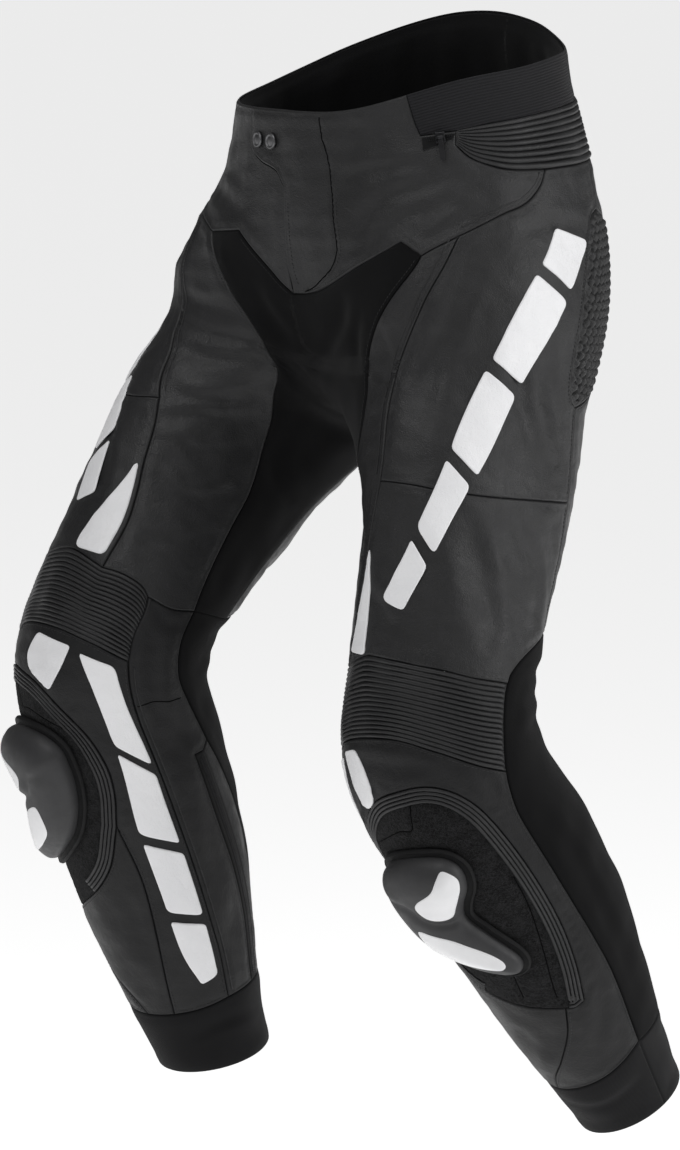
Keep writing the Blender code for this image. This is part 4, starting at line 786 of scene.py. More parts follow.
def grain_leather(name, dark, light, rough, depth=.00022, spec=.5):
    mat, n = node_material(name, dark, rough, spec=spec)
    big = n.noise(9, 4, .6)
    n.blend_colour(n.ramp(big, .3, .7), dark, light)
    pores = n.cells(820, "F1")
    plates = n.cells(560, "DISTANCE_TO_EDGE")
    fine = n.noise(2600, 2)
    lines = n.noise(95, 6, .7, distort=.9)
    n.bumps((n.noise(34, 5, .65), .36, .0024), (n.noise(170, 4, .7), .30, .0010), (lines, .48, .0012), (n.ramp(plates, 0, .22), .45, depth), (pores, .32, depth),
            (fine, .12, .00008))
    n.rough(n.math("ADD", n.noise(26, 5, .6), n.math("MULTIPLY", pores, .12)), rough - .05, rough + .10, .42, .72)
    return mat


def woven(name, dark, light, pitch, rough=.88, turn=0.0, depth=.00018, sheen=.25, spec=.25):
    mat, n = node_material(name, dark, rough, spec=spec, sheen=sheen, sheen_rough=.45)
    uv = n.mapped(n.uv(), (1, 1, 1), turn)
    sep = n.new("ShaderNodeSeparateXYZ")
    n.link(uv, sep.inputs[0])
    wx = n.math("SINE", n.math("MULTIPLY", sep.outputs[0], 2 * math.pi / pitch))
    wy = n.math("SINE", n.math("MULTIPLY", sep.outputs[1], 2 * math.pi / pitch))
    weave = n.math("MULTIPLY", wx, wy)
    soft = n.noise(12, 4)
    n.blend_colour(n.ramp(n.math("ADD", n.math("MULTIPLY", weave, .25), soft), .2, .85), dark, light)
    n.bumps((n.noise(60, 4, .6), .25, .0008), (weave, .55, depth), (n.noise(3200, 2), .3, .00012))
    return mat


def ribbed(name, dark, light, pitch):
    mat, n = node_material(name, dark, .82, spec=.18, sheen=.06, sheen_rough=.4)
    sep = n.new("ShaderNodeSeparateXYZ")
    n.link(n.uv(), sep.inputs[0])
    rib = n.math("SINE", n.math("MULTIPLY", sep.outputs[1], 2 * math.pi / pitch))
    knit = n.math("SINE", n.math("MULTIPLY", sep.outputs[0], 2 * math.pi / .0009))
    n.blend_colour(n.ramp(n.math("ADD", n.math("MULTIPLY", rib, .4), n.noise(14, 3)), .0, 1.0), dark, light)
    n.bumps((rib, .7, .0004), (knit, .3, .00012), (n.noise(3000, 2), .3, .0001))
    return mat


def fuzz(name, dark, light):
    mat, n = node_material(name, dark, .96, spec=.05, sheen=.06, sheen_rough=.6)
    loops = n.noise(1500, 4, .7)
    tufts = n.noise(560, 3, .8)
    n.blend_colour(n.ramp(n.math("ADD", n.math("MULTIPLY", tufts, 1.0), n.math("MULTIPLY", n.noise(110, 3), .35)), .56, .84), dark, light)
    n.bumps((n.noise(420, 4, .75), 1.0, .0014), (n.cells(1400), .9, .0006), (loops, .6, .0004))
    return mat


def moulded(name, colour, light, rough, coat=.0, texture=.00006, spec=.5):
    mat, n = node_material(name, colour, rough, spec=spec, coat=coat, coat_rough=.25)
    n.blend_colour(n.ramp(n.noise(40, 4), .35, .7), colour, light)
    n.bumps((n.noise(30, 2), .05, .0006), (n.cells(1500), .5, texture))
    n.rough(n.noise(120, 5, .7), rough - .04, rough + .1, .4, .7)
    return mat


def satin_metal(name, colour, rough):
    mat, n = node_material(name, colour, rough, metal=1.0)
    n.blend_colour(n.ramp(n.noise(160, 4), .3, .7), colour, tuple(c * .7 for c in colour))
    n.bumps((n.noise(900, 3, source=n.mapped(n.where, (1, .1, 1))), .12, .00006), (n.noise(2400, 2), .08, .00004))
    n.rough(n.noise(300, 4), rough - .05, rough + .16, .35, .7)
    return mat


LEATHER = grain_leather("black_leather", (.0105, .0105, .0110), (.0165, .0165, .0174), .44, spec=.32)
LEATHER_RIB = grain_leather("black_rib_leather", (.0100, .0100, .0106), (.0155, .0155, .0163), .45, depth=.00016, spec=.34)
# painted shade: a darker, less glossy copy of the black leather for the panels below the knee, standing in for the
# shade there
LEATHER_PAINTED_SHADE = grain_leather("black_leather_painted_shade", (.0076, .0076, .0080), (.0122, .0122, .0129), .47, spec=.21)
WHITE = grain_leather("white_leather", (.72, .72, .735), (.80, .80, .81), .42, depth=.00012)
STRETCH = woven("black_stretch", (.0030, .0030, .0032), (.0062, .0062, .0066), .0011, turn=45, sheen=.05, spec=.08)
CUFF = woven("cuff_stretch", (.0060, .0060, .0064), (.0100, .0100, .0106), .0013, sheen=.08, spec=.12)
ELASTIC = ribbed("waist_elastic_cloth", (.0075, .0075, .0084), (.0150, .0150, .0168), .0024)
LININGS = woven("black_lining", (.0030, .0030, .0032), (.0060, .0060, .0064), .0016, sheen=.06, spec=.12)
VELCRO = fuzz("loop_pile", (.0010, .0010, .0011), (.0190, .0190, .0200))
PLASTIC = moulded("puck_plastic", (.026, .026, .0272), (.034, .034, .0355), .52, spec=.34)
PLATE_BLACK = moulded("puck_base", (.0040, .0040, .0043), (.0070, .0070, .0074), .68, texture=.00012, spec=.2)
PUCK_WHITE = moulded("puck_white", (.70, .70, .71), (.76, .76, .77), .38, coat=.1)
METAL = satin_metal("snap_metal", (.155, .155, .16), .42)
ZIP_METAL = satin_metal("zip_metal", (.035, .035, .037), .4)
TAPE = woven("zip_tape_cloth", (.0045, .0045, .0048), (.0085, .0085, .0090), .0009, sheen=.08, spec=.15)


def twisted(name, dark, light, spec=.3, sheen=.1):
    mat, n = node_material(name, dark, .62, spec=spec, sheen=sheen)
    n.blend_colour(n.ramp(n.noise(900, 2), .3, .7), dark, light)
    n.bumps((n.noise(1800, 2), .4, .00008))
    return mat


THREAD = twisted("thread", (.011, .011, .0116), (.021, .021, .0220))
# painted seam shadow: a near-black, dull thread for cords that stand in for the shade in seams, in grooves and under
# the flap's edge
SHADOW_THREAD = twisted("painted_seam_shadow", (.0008, .0008, .0009), (.0018, .0018, .0019), spec=.03, sheen=.0)


# ---- heights of each kind of cloth -------------------------------------------------
def groove(sheet, leg, pts, width=.9, depth=.95):
    """A line of stitching drawn into the leather, with a soft swell each side."""
    p, _ = on_form(leg, *spaced(leg, eased(leg, curve(pts)), 2.0).T)
    near = np.where((sheet.leg == leg) & ((sheet.place > p.min(0) - 12) & (sheet.place < p.max(0) + 12)).all(1))[0]
    h = np.zeros(len(sheet.place))
    if len(near):
        far = np.full(len(near), 1e9)
        for a, b in zip(p[:-1], p[1:]):
            t = np.clip(((sheet.place[near] - a) @ (b - a)) / ((b - a) @ (b - a)), 0, 1)
            far = np.minimum(far, np.linalg.norm(sheet.place[near] - a - t[:, None] * (b - a), axis=1))
        h[near] = -depth * np.exp(-(far / width) ** 2) + .28 * depth * np.exp(-((far - 3.2) / 1.8) ** 2)
    return h


J_LINE = [(.62, .11), (.66, .49), (.76, .89), (.80, 1.47), (.82, 2.03), (.84, 2.50), (.80, 2.79), (.68, 3.03), (.42, 3.34),
          (.2, 3.5)]


def leather_height(sheet):
    d = sheet.dist
    return (-1.25 * np.exp(-(d / .8) ** 2) - .34 * np.exp(-((d - 2.9) / .6) ** 2) + .42 * np.exp(-((d - 7.5) / 5) ** 2)
            + .55 * waves(sheet.place, 70, 14, 3) * smooth(d / 14) + .30 * waves(sheet.place, 26, 18, 5) * smooth(d / 8)
            + crease_field(sheet.place, sheet.normal) * smooth((d + .4) / 5))


def stretch_height(sheet):
    d = sheet.dist
    return (-.95 * np.exp(-(d / .9) ** 2) + .40 * np.exp(-((d - 7) / 5) ** 2)
            + .55 * waves(sheet.place, 60, 14, 9) * smooth(d / 14)
            + crease_field(sheet.place, sheet.normal) * smooth((d + .4) / 5))


def bound_height(sheet):
    """Leather with two lines stitched beside the edge of the knee's pile."""
    leg = str(sheet.leg[0])
    h = leather_height(sheet)
    for name in ("pad_top", "pad_end"):
        p, _ = on_form(leg, *seam(leg, name).T)
        tree = KDTree(len(p))
        for i, q in enumerate(p):
            tree.insert(q, i)
        tree.balance()
        near = np.where(((sheet.place > p.min(0) - 14) & (sheet.place < p.max(0) + 14)).all(1))[0]
        far = np.array([tree.find(q)[2] for q in sheet.place[near]])
        h[near] += (-.85 * np.exp(-((far - 5.4) / .7) ** 2) - .95 * np.exp(-((far - 9.4) / .75) ** 2)
                    + .45 * np.exp(-((far - 7.4) / 1.1) ** 2) + .30 * np.exp(-((far - 3.6) / 1.0) ** 2))
    return h


def thin_height(sheet):
    d = sheet.dist
    return -.7 * np.exp(-(d / .8) ** 2)


PANELS = {  # seams round it, material, height
    "thigh_front": (["yoke_strip", "strip_up", "strip_low", "-knee_top_i", "strip_end", "-gusset"], LEATHER, leather_height),
    "thigh_outer_upper": (["yoke_outer", "pleat_side", "side_top", "hip_front", "side_mid", "-cross", "-strip_up"],
                          LEATHER, leather_height),
    "thigh_outer_lower": (["cross", "side_low", "calf_top_o", "-knee_top_o", "-strip_low"], LEATHER, leather_height),
    "thigh_back": (["pleat_seat", "centre_back", "gusset_back+12", "-calf_top_b", "-side_low", "-side_mid",
                    "-hip_back", "-side_top"], LEATHER, leather_height),
    # the panels below the knee take the darker leather copy: painted shade
    "knee_surround": (["knee_low", "calf_out", "cuff_1", "-shin_out", "-pad_end", "-pad_top", "shin_in", "cuff_3",
                       "-medial"], LEATHER_PAINTED_SHADE, bound_height),
    "shin": (["-pad_low", "shin_out", "cuff_2", "-shin_in"], LEATHER_PAINTED_SHADE, leather_height),
    "calf_inner": (["strip_end", "calf_in_up", "rear_top", "zip_top", "zip_front", "-cuff_4", "-medial",
                    "-knee_in"], LEATHER_PAINTED_SHADE, leather_height),
    "calf_rear": (["rear_top", "zip_back", "cuff_6", "-calf_in_low"], LEATHER_PAINTED_SHADE, leather_height),
    "calf_zip": (["zip_top", "zip_front", "cuff_5", "-zip_back"], TAPE, thin_height),
    "calf_stretch": (["calf_top_b", "calf_top_g+12", "calf_in_up+12", "calf_in_low+12", "cuff_7+12", "-calf_out",
                      "-knee_out", "-calf_top_o"], STRETCH, stretch_height),
    "cuff": (["cuff_1", "cuff_2", "cuff_3", "cuff_4", "cuff_5", "cuff_6", "cuff_7", "cuff_seam+-12", "-hem",
              "-cuff_seam"], CUFF, stretch_height),
}


def declare(obj, node, sheet=None, flat=None):
    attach(obj, BODY)
    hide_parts(*([node] if isinstance(node, str) else node))
    if sheet is not None:
        area = sheet.area() / 1e6
        if flat is None:                             # the smallest rectangle round the flat cut
            best = None
            for turn in range(0, 180, 5):
                c, q = math.cos(math.radians(turn)), math.sin(math.radians(turn))
                xy = sheet.xy @ np.array([[c, -q], [q, c]])
                size = xy.max(0) - xy.min(0)
                if best is None or size.prod() < best.prod():
                    best = size
            flat = best
        w, l = sorted(max(.012, float(x) / 1000) for x in flat)
        w = round(min(w, area / .31 / l), 4)         # a strip cut in a curve is given by its own width
        l = round(max(l, area / w), 4)
        print("SHEET", obj.name, w, l, round(area, 4))


def panel(name, leg, seams, mat, height, wall=1.3, node=None, closed=False, step=STEP):
    sheet = Sheet(leg, *fill(leg, outline(leg, seams), step))
    if closed:
        sheet.weld()
    obj = cloth(name, sheet, mat, wall, height)
    declare(obj, node or name, sheet)
    return obj


# ---- the waist ------------------------------------------------------------------------
def mirrored(points):
    return np.stack([2 * HALF - points[:, 0], points[:, 1]], axis=1)


YOKE = ["rim_front", "elastic_end", "elastic_zip", "pleat_end", "pleat_yoke", "-yoke_outer", "-yoke_strip",
        "-wing", "-vee"]


def flap_lift(sheet):
    a = np.where(sheet.leg == "R", -sheet.av[:, 0], sheet.av[:, 0])
    return FLAP_LIFT * smooth((.66 - a) / .5) * smooth((3.5 - sheet.av[:, 1]) / .6)


def make_yokes():
    right = Sheet("R", *fill("R", outline("R", YOKE + ["-centre_low", "-centre_top"])))
    obj = cloth("yoke_R", right, LEATHER, 1.3, leather_height)
    declare(obj, "yoke_R", right)
    rim = spaced("L", curve([(0, 0), (-.84, 0)]))
    edge = spaced("L", curve(FLAP_EDGE[1:]))
    left = outline("L", YOKE + ["-centre_low"])
    top = int(np.where((np.abs(left - seam("L", "rim_front")[0]) < 1e-6).all(1))[0][0])
    body = np.concatenate([left[top:], left[:top]])
    end = seam("L", "centre_low")[0]
    if np.abs(body[-1] - end).max() > 1e-6:
        body = np.concatenate([body, [end]])
    loop = np.concatenate([body, edge[::-1][1:], rim[::-1][1:-1]])
    sheet = Sheet("L", *fill("L", loop, 3.0))
    obj = cloth("yoke_L", sheet, LEATHER, 1.3, lambda s: leather_height(s) + groove(s, "L", J_LINE), lift=flap_lift)
    declare(obj, "yoke_L", sheet)
    return {"yoke_R": right, "yoke_L": sheet}


def make_band():
    loop = np.concatenate([
        seam("L", "rim_back"), mirrored(seam("R", "rim_back"))[::-1][1:],
        mirrored(seam("R", "elastic_end"))[1:], mirrored(seam("R", "elastic_zip"))[1:],
        mirrored(seam("R", "elastic_low"))[1:], seam("L", "elastic_low")[::-1][1:],
        seam("L", "elastic_zip")[::-1][1:], seam("L", "elastic_end")[::-1][1:-1]])
    sheet = Sheet("L", *fill("L", loop))
    obj = cloth("waist_elastic", sheet, ELASTIC, 1.2,
                lambda s: -.6 * np.exp(-(s.dist / .8) ** 2) + .45 * waves(s.place, 80, 12, 21) + .35 * np.exp(-((s.dist - 6) / 4) ** 2))
    declare(obj, "waist_elastic", sheet)


def grid_sheet(leg_name, a, v, wrap=False):
    rows, cols = a.shape
    k = np.arange(rows * cols).reshape(rows, cols)
    k = np.concatenate([k, k[:, :1]], 1) if wrap else k
    f = np.concatenate([np.stack([k[:-1, :-1], k[:-1, 1:], k[1:, 1:]], -1).reshape(-1, 3),
                        np.stack([k[:-1, :-1], k[1:, 1:], k[1:, :-1]], -1).reshape(-1, 3)])
    place, _ = on_form(leg_name, a, v)
    grid = place.reshape(rows, cols, 3)
    x = np.concatenate([np.zeros((rows, 1)), np.cumsum(np.linalg.norm(np.diff(grid, axis=1), axis=2), axis=1)], 1)
    y = np.concatenate([np.zeros((1, cols)), np.cumsum(np.linalg.norm(np.diff(grid, axis=0), axis=2), axis=0)], 0)
    return Sheet(leg_name, np.stack([a.ravel(), v.ravel()], 1), f, np.full(a.size, 50.0),
                 np.stack([x.ravel(), y.ravel()], 1))


def make_lining():
    """A black tube inside the waist, hanging in soft upright folds."""
    cols, rows = 330, 44
    a, v = np.meshgrid(np.linspace(-HALF, HALF, cols, endpoint=False), np.linspace(.05, 1.66, rows))
    sheet = grid_sheet("L", a, v, wrap=True)
    av = sheet.av
    th = av[:, 0] * math.pi / HALF
    fold = (np.sin(th * 13 + 1.1 * np.sin(th * 3 + 1)) * .5 + np.sin(th * 7 + 2) * .3 + np.sin(th * 29 + np.sin(th * 5)) * .2)
    drop = smooth((av[:, 1] - .1) / .5)
    height = -1.75 - 3.1 * smooth((av[:, 1] - .05) / .25) - drop * (2.6 + 3.0 * fold) * .9
    hem = smooth((.16 - av[:, 1]) / .1)
    height = height + .35 * np.cos(av[:, 1] * 120) * hem
    obj = cloth("waist_lining", sheet, LININGS, 1.0, lambda s: height, gap=0)
    declare(obj, "waist_lining", sheet)


def ribs(name, leg, top, bottom, left, right, count, rise, mat, per_rib=9, col_step=4.0):
    """A pleated panel: rounded ribs of leather between two seams, stitched down between them."""
    length = np.linalg.norm(np.diff(on_form(leg, bottom[:, 0], bottom[:, 1])[0], axis=0), axis=1).sum()
    n, rows = max(12, round(length / col_step)), count * per_rib + 1
    t_, b_ = spaced(leg, top, count=n), spaced(leg, bottom, count=n)
    l_, r_ = spaced(leg, left, count=rows - 1), spaced(leg, right, count=rows - 1)
    t = np.linspace(0, 1, rows)[:, None, None]
    u = np.linspace(0, 1, n + 1)[None, :, None]
    q = t_[None] * (1 - t) + b_[None] * t
    q = q + (l_[:, None] - q[:, :1]) * (1 - u) + (r_[:, None] - q[:, -1:]) * u
    sheet = grid_sheet(leg, q[..., 0], q[..., 1])
    grid = sheet.place.reshape(rows, n + 1, 3)
    side = np.minimum(sheet.xy[:, 0].reshape(rows, -1), (sheet.xy[:, 0].reshape(rows, -1)[:, -1:] - sheet.xy[:, 0].reshape(rows, -1)))
    pitch = np.linalg.norm(grid[0] - grid[-1], axis=1)[None] / count
    tt = np.linspace(0, 1, rows)[:, None] * count
    wave = waves(sheet.place, 38, 10, 31).reshape(rows, -1)
    tube = np.abs(np.sin(np.pi * np.clip(tt, 0, count))) ** .62
    size = np.clip(pitch / 4.2, .25, 1.15) * rise
    h = -.75 + tube * size * (1 + .16 * wave) * smooth((side + .6) / 3.0) + .25 * wave
    h = h - .5 * np.exp(-(side / 1.0) ** 2)
    sheet.dist = side.ravel()
    obj = cloth(name, sheet, mat, 1.1, lambda s: h.ravel())
    declare(obj, name, sheet)
    return sheet


def make_lumbar():
    top = np.concatenate([seam("L", "elastic_low"), mirrored(seam("R", "elastic_low"))[::-1][1:]])
    low = [np.concatenate([seam(s, "pleat_yoke"), seam(s, "pleat_side")[1:], seam(s, "pleat_seat")[1:]]) for s in "LR"]
    bottom = np.concatenate([low[0], mirrored(low[1])[::-1][1:]])
    ribs("lumbar_pleats", "L", top, bottom, seam("L", "pleat_end"), mirrored(seam("R", "pleat_end")), 9, 1.9, LEATHER_RIB,
         per_rib=8, col_step=5.0)


def relaxed(sheet, centre, radius, times):
    """Draws the cloth smooth round one place, as cloth pulled tight over a saddle, its edge held."""
    f = sheet.faces
    e = np.unique(np.sort(np.concatenate([f[:, [0, 1]], f[:, [1, 2]], f[:, [2, 0]]]), axis=1), axis=0)
    count = np.bincount(e.ravel(), minlength=len(sheet.place))[:, None]
    far = np.linalg.norm(sheet.place - centre, axis=1)
    hold = (.85 * smooth((radius - far) / (radius * .5)) * smooth(sheet.dist / 8))[:, None]
    p = sheet.place
    for _ in range(times):
        total = np.zeros_like(p)
        np.add.at(total, e[:, 0], p[e[:, 1]])
        np.add.at(total, e[:, 1], p[e[:, 0]])
        p = p + (total / count - p) * hold
    face = np.cross(p[f[:, 1]] - p[f[:, 0]], p[f[:, 2]] - p[f[:, 0]])
    normal = np.zeros_like(p)
    for k in range(3):
        np.add.at(normal, f[:, k], face)
    blend = smooth(hold / .85 * 2)
    sheet.normal = unit(unit(normal) * blend + sheet.normal * (1 - blend))
    sheet.place = p
    return sheet


def make_gusset():
    half = ["vee", "wing", "gusset", "-calf_top_g", "-gusset_back", "-crotch", "-centre_cr"]
    sheets = []
    for leg in "LR":
        loop = outline(leg, half)
        plain = len(outline(leg, half)) - (len(seam(leg, "crotch")) - 1) - (len(seam(leg, "centre_cr")) - 1)
        sheets.append(Sheet(leg, *fill(leg, loop, 4.2, join_from=plain)))
    joined = len(seam("L", "crotch")) + len(seam("L", "centre_cr")) - 2
    rows = [np.r_[len(outline(leg, half)) - joined:len(outline(leg, half)), 0] for leg in "LR"]
    for k in ("place", "normal"):                   # the two halves meet on one line
        mid = (getattr(sheets[0], k)[rows[0]] + getattr(sheets[1], k)[rows[1]]) / 2
        getattr(sheets[0], k)[rows[0]], getattr(sheets[1], k)[rows[1]] = mid, mid
    sheet = relaxed(sheets[0].weld(sheets[1]), on_form("L", [0], [4.95])[0][0], 85, 40)
    obj = cloth("crotch_gusset", sheet, STRETCH, 1.2, stretch_height)
    declare(obj, "crotch_gusset", sheet, flat=(420, 640))


# ---- what lies on the legs -----------------------------------------------------------
INLAYS = {
    "thigh_stripe": {
        "L": ([(4.32, 2.62), (3.65, 3.72), (3.20, 4.85), (2.58, 5.86), (2.05, 6.72), (1.46, 7.62), (.85, 8.35)],
              [(5.02, 2.72), (4.52, 3.57), (3.93, 4.75), (3.33, 5.76), (2.70, 6.65), (2.05, 7.65), (1.42, 8.45)]),
        "R": ([(3.80, 2.62), (3.22, 3.72), (2.70, 4.85), (1.80, 5.86), (1.08, 6.66), (.70, 7.60), (.42, 8.30)],
              [(4.50, 2.72), (3.98, 3.57), (3.33, 4.75), (2.55, 5.76), (1.75, 6.65), (1.30, 7.65), (.98, 8.40)])},
    "knee_flash": {"L": ([(-.33, 10.86), (-.22, 11.25), (-.05, 11.62), (.12, 11.85)],
                         [(.16, 10.78), (.36, 11.15), (.45, 11.5), (.40, 11.72)]),
                   "R": ([(-.34, 10.90), (-.26, 11.2), (-.14, 11.5), (.03, 11.80)],
                         [(.50, 10.76), (.67, 11.0), (.73, 11.25), (.64, 11.48)])},
    "shin_stripe": ([(-.55, 11.0), (-.98, 11.87), (-1.20, 12.9), (-1.2, 13.98), (-1.33, 15.08), (-1.44, 16.0),
                     (-1.72, 16.6)],
                    [(-1.3, 11.2), (-1.52, 11.9), (-1.78, 12.9), (-1.88, 13.8), (-2.02, 14.8), (-2.15, 15.72),
                     (-2.2, 16.5)]),
}
BARS = {  # where each bar begins and ends along its front and its back edge
    "thigh_stripe": [((.000, .105), (.030, .165)), ((.135, .365), (.195, .420)), ((.395, .600), (.450, .660)),
                     ((.630, .800), (.690, .860)), ((.830, .985), (.890, 1.0))],
    "knee_flash": [((0, 1), (0, 1))],
    "shin_stripe": [((.000, .260), (.000, .310)), ((.290, .520), (.340, .570)), ((.550, .760), (.600, .805)),
                    ((.790, 1.0), (.835, 1.0))],
    "thigh_spear": [((0, 1), (0, 1))],
}


def spear_edges(leg):
    s = SEAMS["strip_low"][leg]
    line = curve([(a + .10, v) for a, v in s])
    front = line[int(len(line) * .42):int(len(line) * .97)]
    tip, end = front[0], front[-1]
    k = np.linspace(0, 1, 9)
    back = np.stack([tip[0] + .06 + (end[0] + .66 - tip[0]) * smooth(k), tip[1] + (end[1] - .06 - tip[1]) * k], 1)
    return front[::max(1, len(front) // 8)], back


def rounded(xy, cut=.8, times=3):
    """A polygon with its corners cut soft."""
    for _ in range(times):
        nxt = np.roll(xy, -1, axis=0)
        seg = np.linalg.norm(nxt - xy, axis=1, keepdims=True)
        k = np.minimum(.25, cut / np.maximum(seg, 1e-6))
        xy = np.stack([xy + (nxt - xy) * k, nxt - (nxt - xy) * k], 1).reshape(-1, 2)
    return xy


def along(xy, step):
    """Points evenly round a closed outline."""
    loop = np.concatenate([xy, xy[:1]])
    run = np.concatenate([[0], np.cumsum(np.linalg.norm(np.diff(loop, axis=0), axis=1))])
    want = np.linspace(0, run[-1], max(8, round(run[-1] / step)) + 1)[:-1]
    return np.stack([np.interp(want, run, loop[:, k]) for k in range(2)], 1)


TREE = {}


def under(place, leg_of=None):
    """Height of the cloth below points of the form."""
    if "tree" not in TREE or TREE["n"] != len(HEIGHTS):
        p, h = np.concatenate([x[0] for x in HEIGHTS]), np.concatenate([x[1] for x in HEIGHTS])
        tree = KDTree(len(p))
        for i, q in enumerate(p):
            tree.insert(q, i)
        tree.balance()
        TREE.update(tree=tree, h=h, p=p, n=len(HEIGHTS))
    out = np.zeros(len(place))
    for i, q in enumerate(place):
        got = TREE["tree"].find_n(q, 4)
        w = np.array([1 / (g[2] + .25) ** 2 for g in got])
        out[i] = (w * TREE["h"][[g[1] for g in got]]).sum() / w.sum()
    return out


def inlay(name, leg):
    if name == "thigh_spear":
        front, back = spear_edges(leg)
    else:
        edges = INLAYS[name]
        front, back = edges[leg] if isinstance(edges, dict) else edges
    front, back = spaced(leg, eased(leg, curve(front, 12)), count=200), spaced(leg, eased(leg, curve(back, 12)), count=200)
    parts = []
    for (f0, f1), (b0, b1) in BARS[name]:
        a = front[int(f0 * 200):int(f1 * 200) + 1]
        b = back[int(b0 * 200):int(b1 * 200) + 1]
        loop = np.concatenate([a[::6], a[-1:], b[::-1][::6], b[:1]])
        flat = Flat(leg, loop)
        xy = flat.to(loop)
        keep = np.linalg.norm(xy - np.roll(xy, 1, axis=0), axis=1) > .5
        xy = along(rounded(along(xy[keep], 6.0), 2.2, 3), 2.0)
        sheet = Sheet(leg, *fill(leg, flat.back(xy), 3.0, rings=(.35, .9, 1.7)))
        parts.append(sheet)
    whole = parts[0]
    for other in parts[1:]:
        whole.weld(other)
    lie = under(whole.place)
    d = whole.dist
    obj = cloth(f"{name}_{leg}", whole, WHITE, .85,
                lambda s: np.maximum(lie, -.4) + 1.35 - .55 * np.exp(-(d / .5) ** 2) + .12 * np.exp(-((d - 3) / 2) ** 2) - .16 * np.exp(-((d - 1.9) / .4) ** 2), gap=0)
    HEIGHTS.pop()
    declare(obj, f"{name}_{leg}", whole)
    return parts


# ---- hard pieces ------------------------------------------------------------------------
PUCK_RIM = [(-.10, 12.74), (.22, 12.58), (.68, 12.52), (1.12, 12.54), (1.44, 12.62), (1.60, 12.82), (1.52, 13.10),
            (1.26, 13.34), (1.14, 13.56), (1.32, 13.86), (1.64, 14.32), (1.62, 14.52), (1.38, 14.55), (.96, 14.42),
            (.50, 14.20), (.12, 13.94), (-.12, 13.62), (-.22, 13.28), (-.20, 12.98)]
PUCK = {"a": .68, "v": 13.24, "peak": 16.0, "slope": 24.0, "side": 4.0, "rise": 5.6}
PLATE = {"wider": 6.5, "rise": 1.7, "wall": 2.2}
COLUMN_MM, RING_MM = 41.0, 60.0
VALLEY = [(1.20, 13.50), (.92, 13.46), (.62, 13.30), (.42, 13.08), (.05, 12.98)]
PUCK_WHITES = {
    "body": [(1.37, 12.68), (1.48, 12.76), (1.53, 12.88), (1.48, 13.01), (1.38, 13.12), (1.23, 13.26), (1.08, 13.38),
             (.87, 13.33), (.74, 13.23), (.68, 13.09), (.79, 12.99), (1.10, 12.88), (1.26, 12.75)],
    "tail": [(.42, 13.47), (.80, 13.62), (1.10, 13.87), (1.33, 14.10), (1.44, 14.27), (1.38, 14.34), (1.12, 14.27),
             (.72, 14.08), (.40, 13.82)],
}


def pad_mm(av):
    av = np.asarray(av, float)
    return np.stack([(av[:, 0] - PUCK["a"]) * COLUMN_MM, (av[:, 1] - PUCK["v"]) * RING_MM], 1)


def ringed(points, step=2.0):
    """A smooth closed line through a few points, in (a, v)."""
    p = np.array(points, float)
    p = np.concatenate([p[-2:], p, p[:3]])
    t = np.arange(8)[:, None] / 8
    line = np.concatenate([0.5 * (2 * p[i] + (p[i + 1] - p[i - 1]) * t + (2 * p[i - 1] - 5 * p[i] + 4 * p[i + 1] - p[i + 2]) * t * t
                                  + (3 * p[i] - p[i - 1] - 3 * p[i + 1] + p[i + 2]) * t ** 3) for i in range(2, len(p) - 3)])
    xy = along(pad_mm(line), step)
    return np.stack([xy[:, 0] / COLUMN_MM + PUCK["a"], xy[:, 1] / RING_MM + PUCK["v"]], 1)


def widened(av, by):
    xy = pad_mm(av)
    t = unit(np.roll(xy, -1, axis=0) - np.roll(xy, 1, axis=0))
    xy = xy + np.stack([t[:, 1], -t[:, 0]], 1) * by
    return np.stack([xy[:, 0] / COLUMN_MM + PUCK["a"], xy[:, 1] / RING_MM + PUCK["v"]], 1)


RIM_LINE = ringed(PUCK_RIM, 1.6)


def puck_top(av):
    """Height of the puck over the cloth's form, in mm."""
    xy, rim, dip = pad_mm(av), pad_mm(RIM_LINE), pad_mm(curve(VALLEY, 8))
    far = to_edge(xy, rim)
    dome = (1 - (1 - np.minimum(1.0, far / PUCK["slope"])) ** 2) ** .8
    tail = 1 - .30 * smooth((av[:, 1] - 13.6) / .9)
    line = to_edge(xy, dip, shut=False)
    fade = smooth((av[:, 0] + .1) / .9) * smooth(far / 5)
    return (PUCK["rise"] + PUCK["side"] * (1 - .8 * np.exp(-far / .7)) + PUCK["peak"] * dome * tail
            - 3.4 * np.exp(-(line / 3.6) ** 2) * fade)


def moulding(name, leg, loop, top, base, mat, step, rings, look_node=None):
    """A hard closed piece between two heights over the form."""
    sheet = Sheet(leg, *fill(leg, loop, step, rings=rings))
    up, down = top(sheet), base(sheet)
    n, rim = len(sheet.place), rim_of(sheet.faces)
    tri = np.concatenate([sheet.faces, sheet.faces[:, ::-1] + n, np.stack([rim[:, 1], rim[:, 0], rim[:, 0] + n], 1),
                          np.stack([rim[:, 1], rim[:, 0] + n, rim[:, 1] + n], 1)])
    obj = new_object(name, np.concatenate([sheet.place + sheet.normal * up[:, None], sheet.place + sheet.normal * down[:, None]]),
                     tri, mat, np.concatenate([sheet.xy, sheet.xy]))
    obj.data.set_sharp_from_angle(angle=math.radians(50))
    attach(obj, BODY)
    if look_node:
        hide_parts(look_node)
    return obj


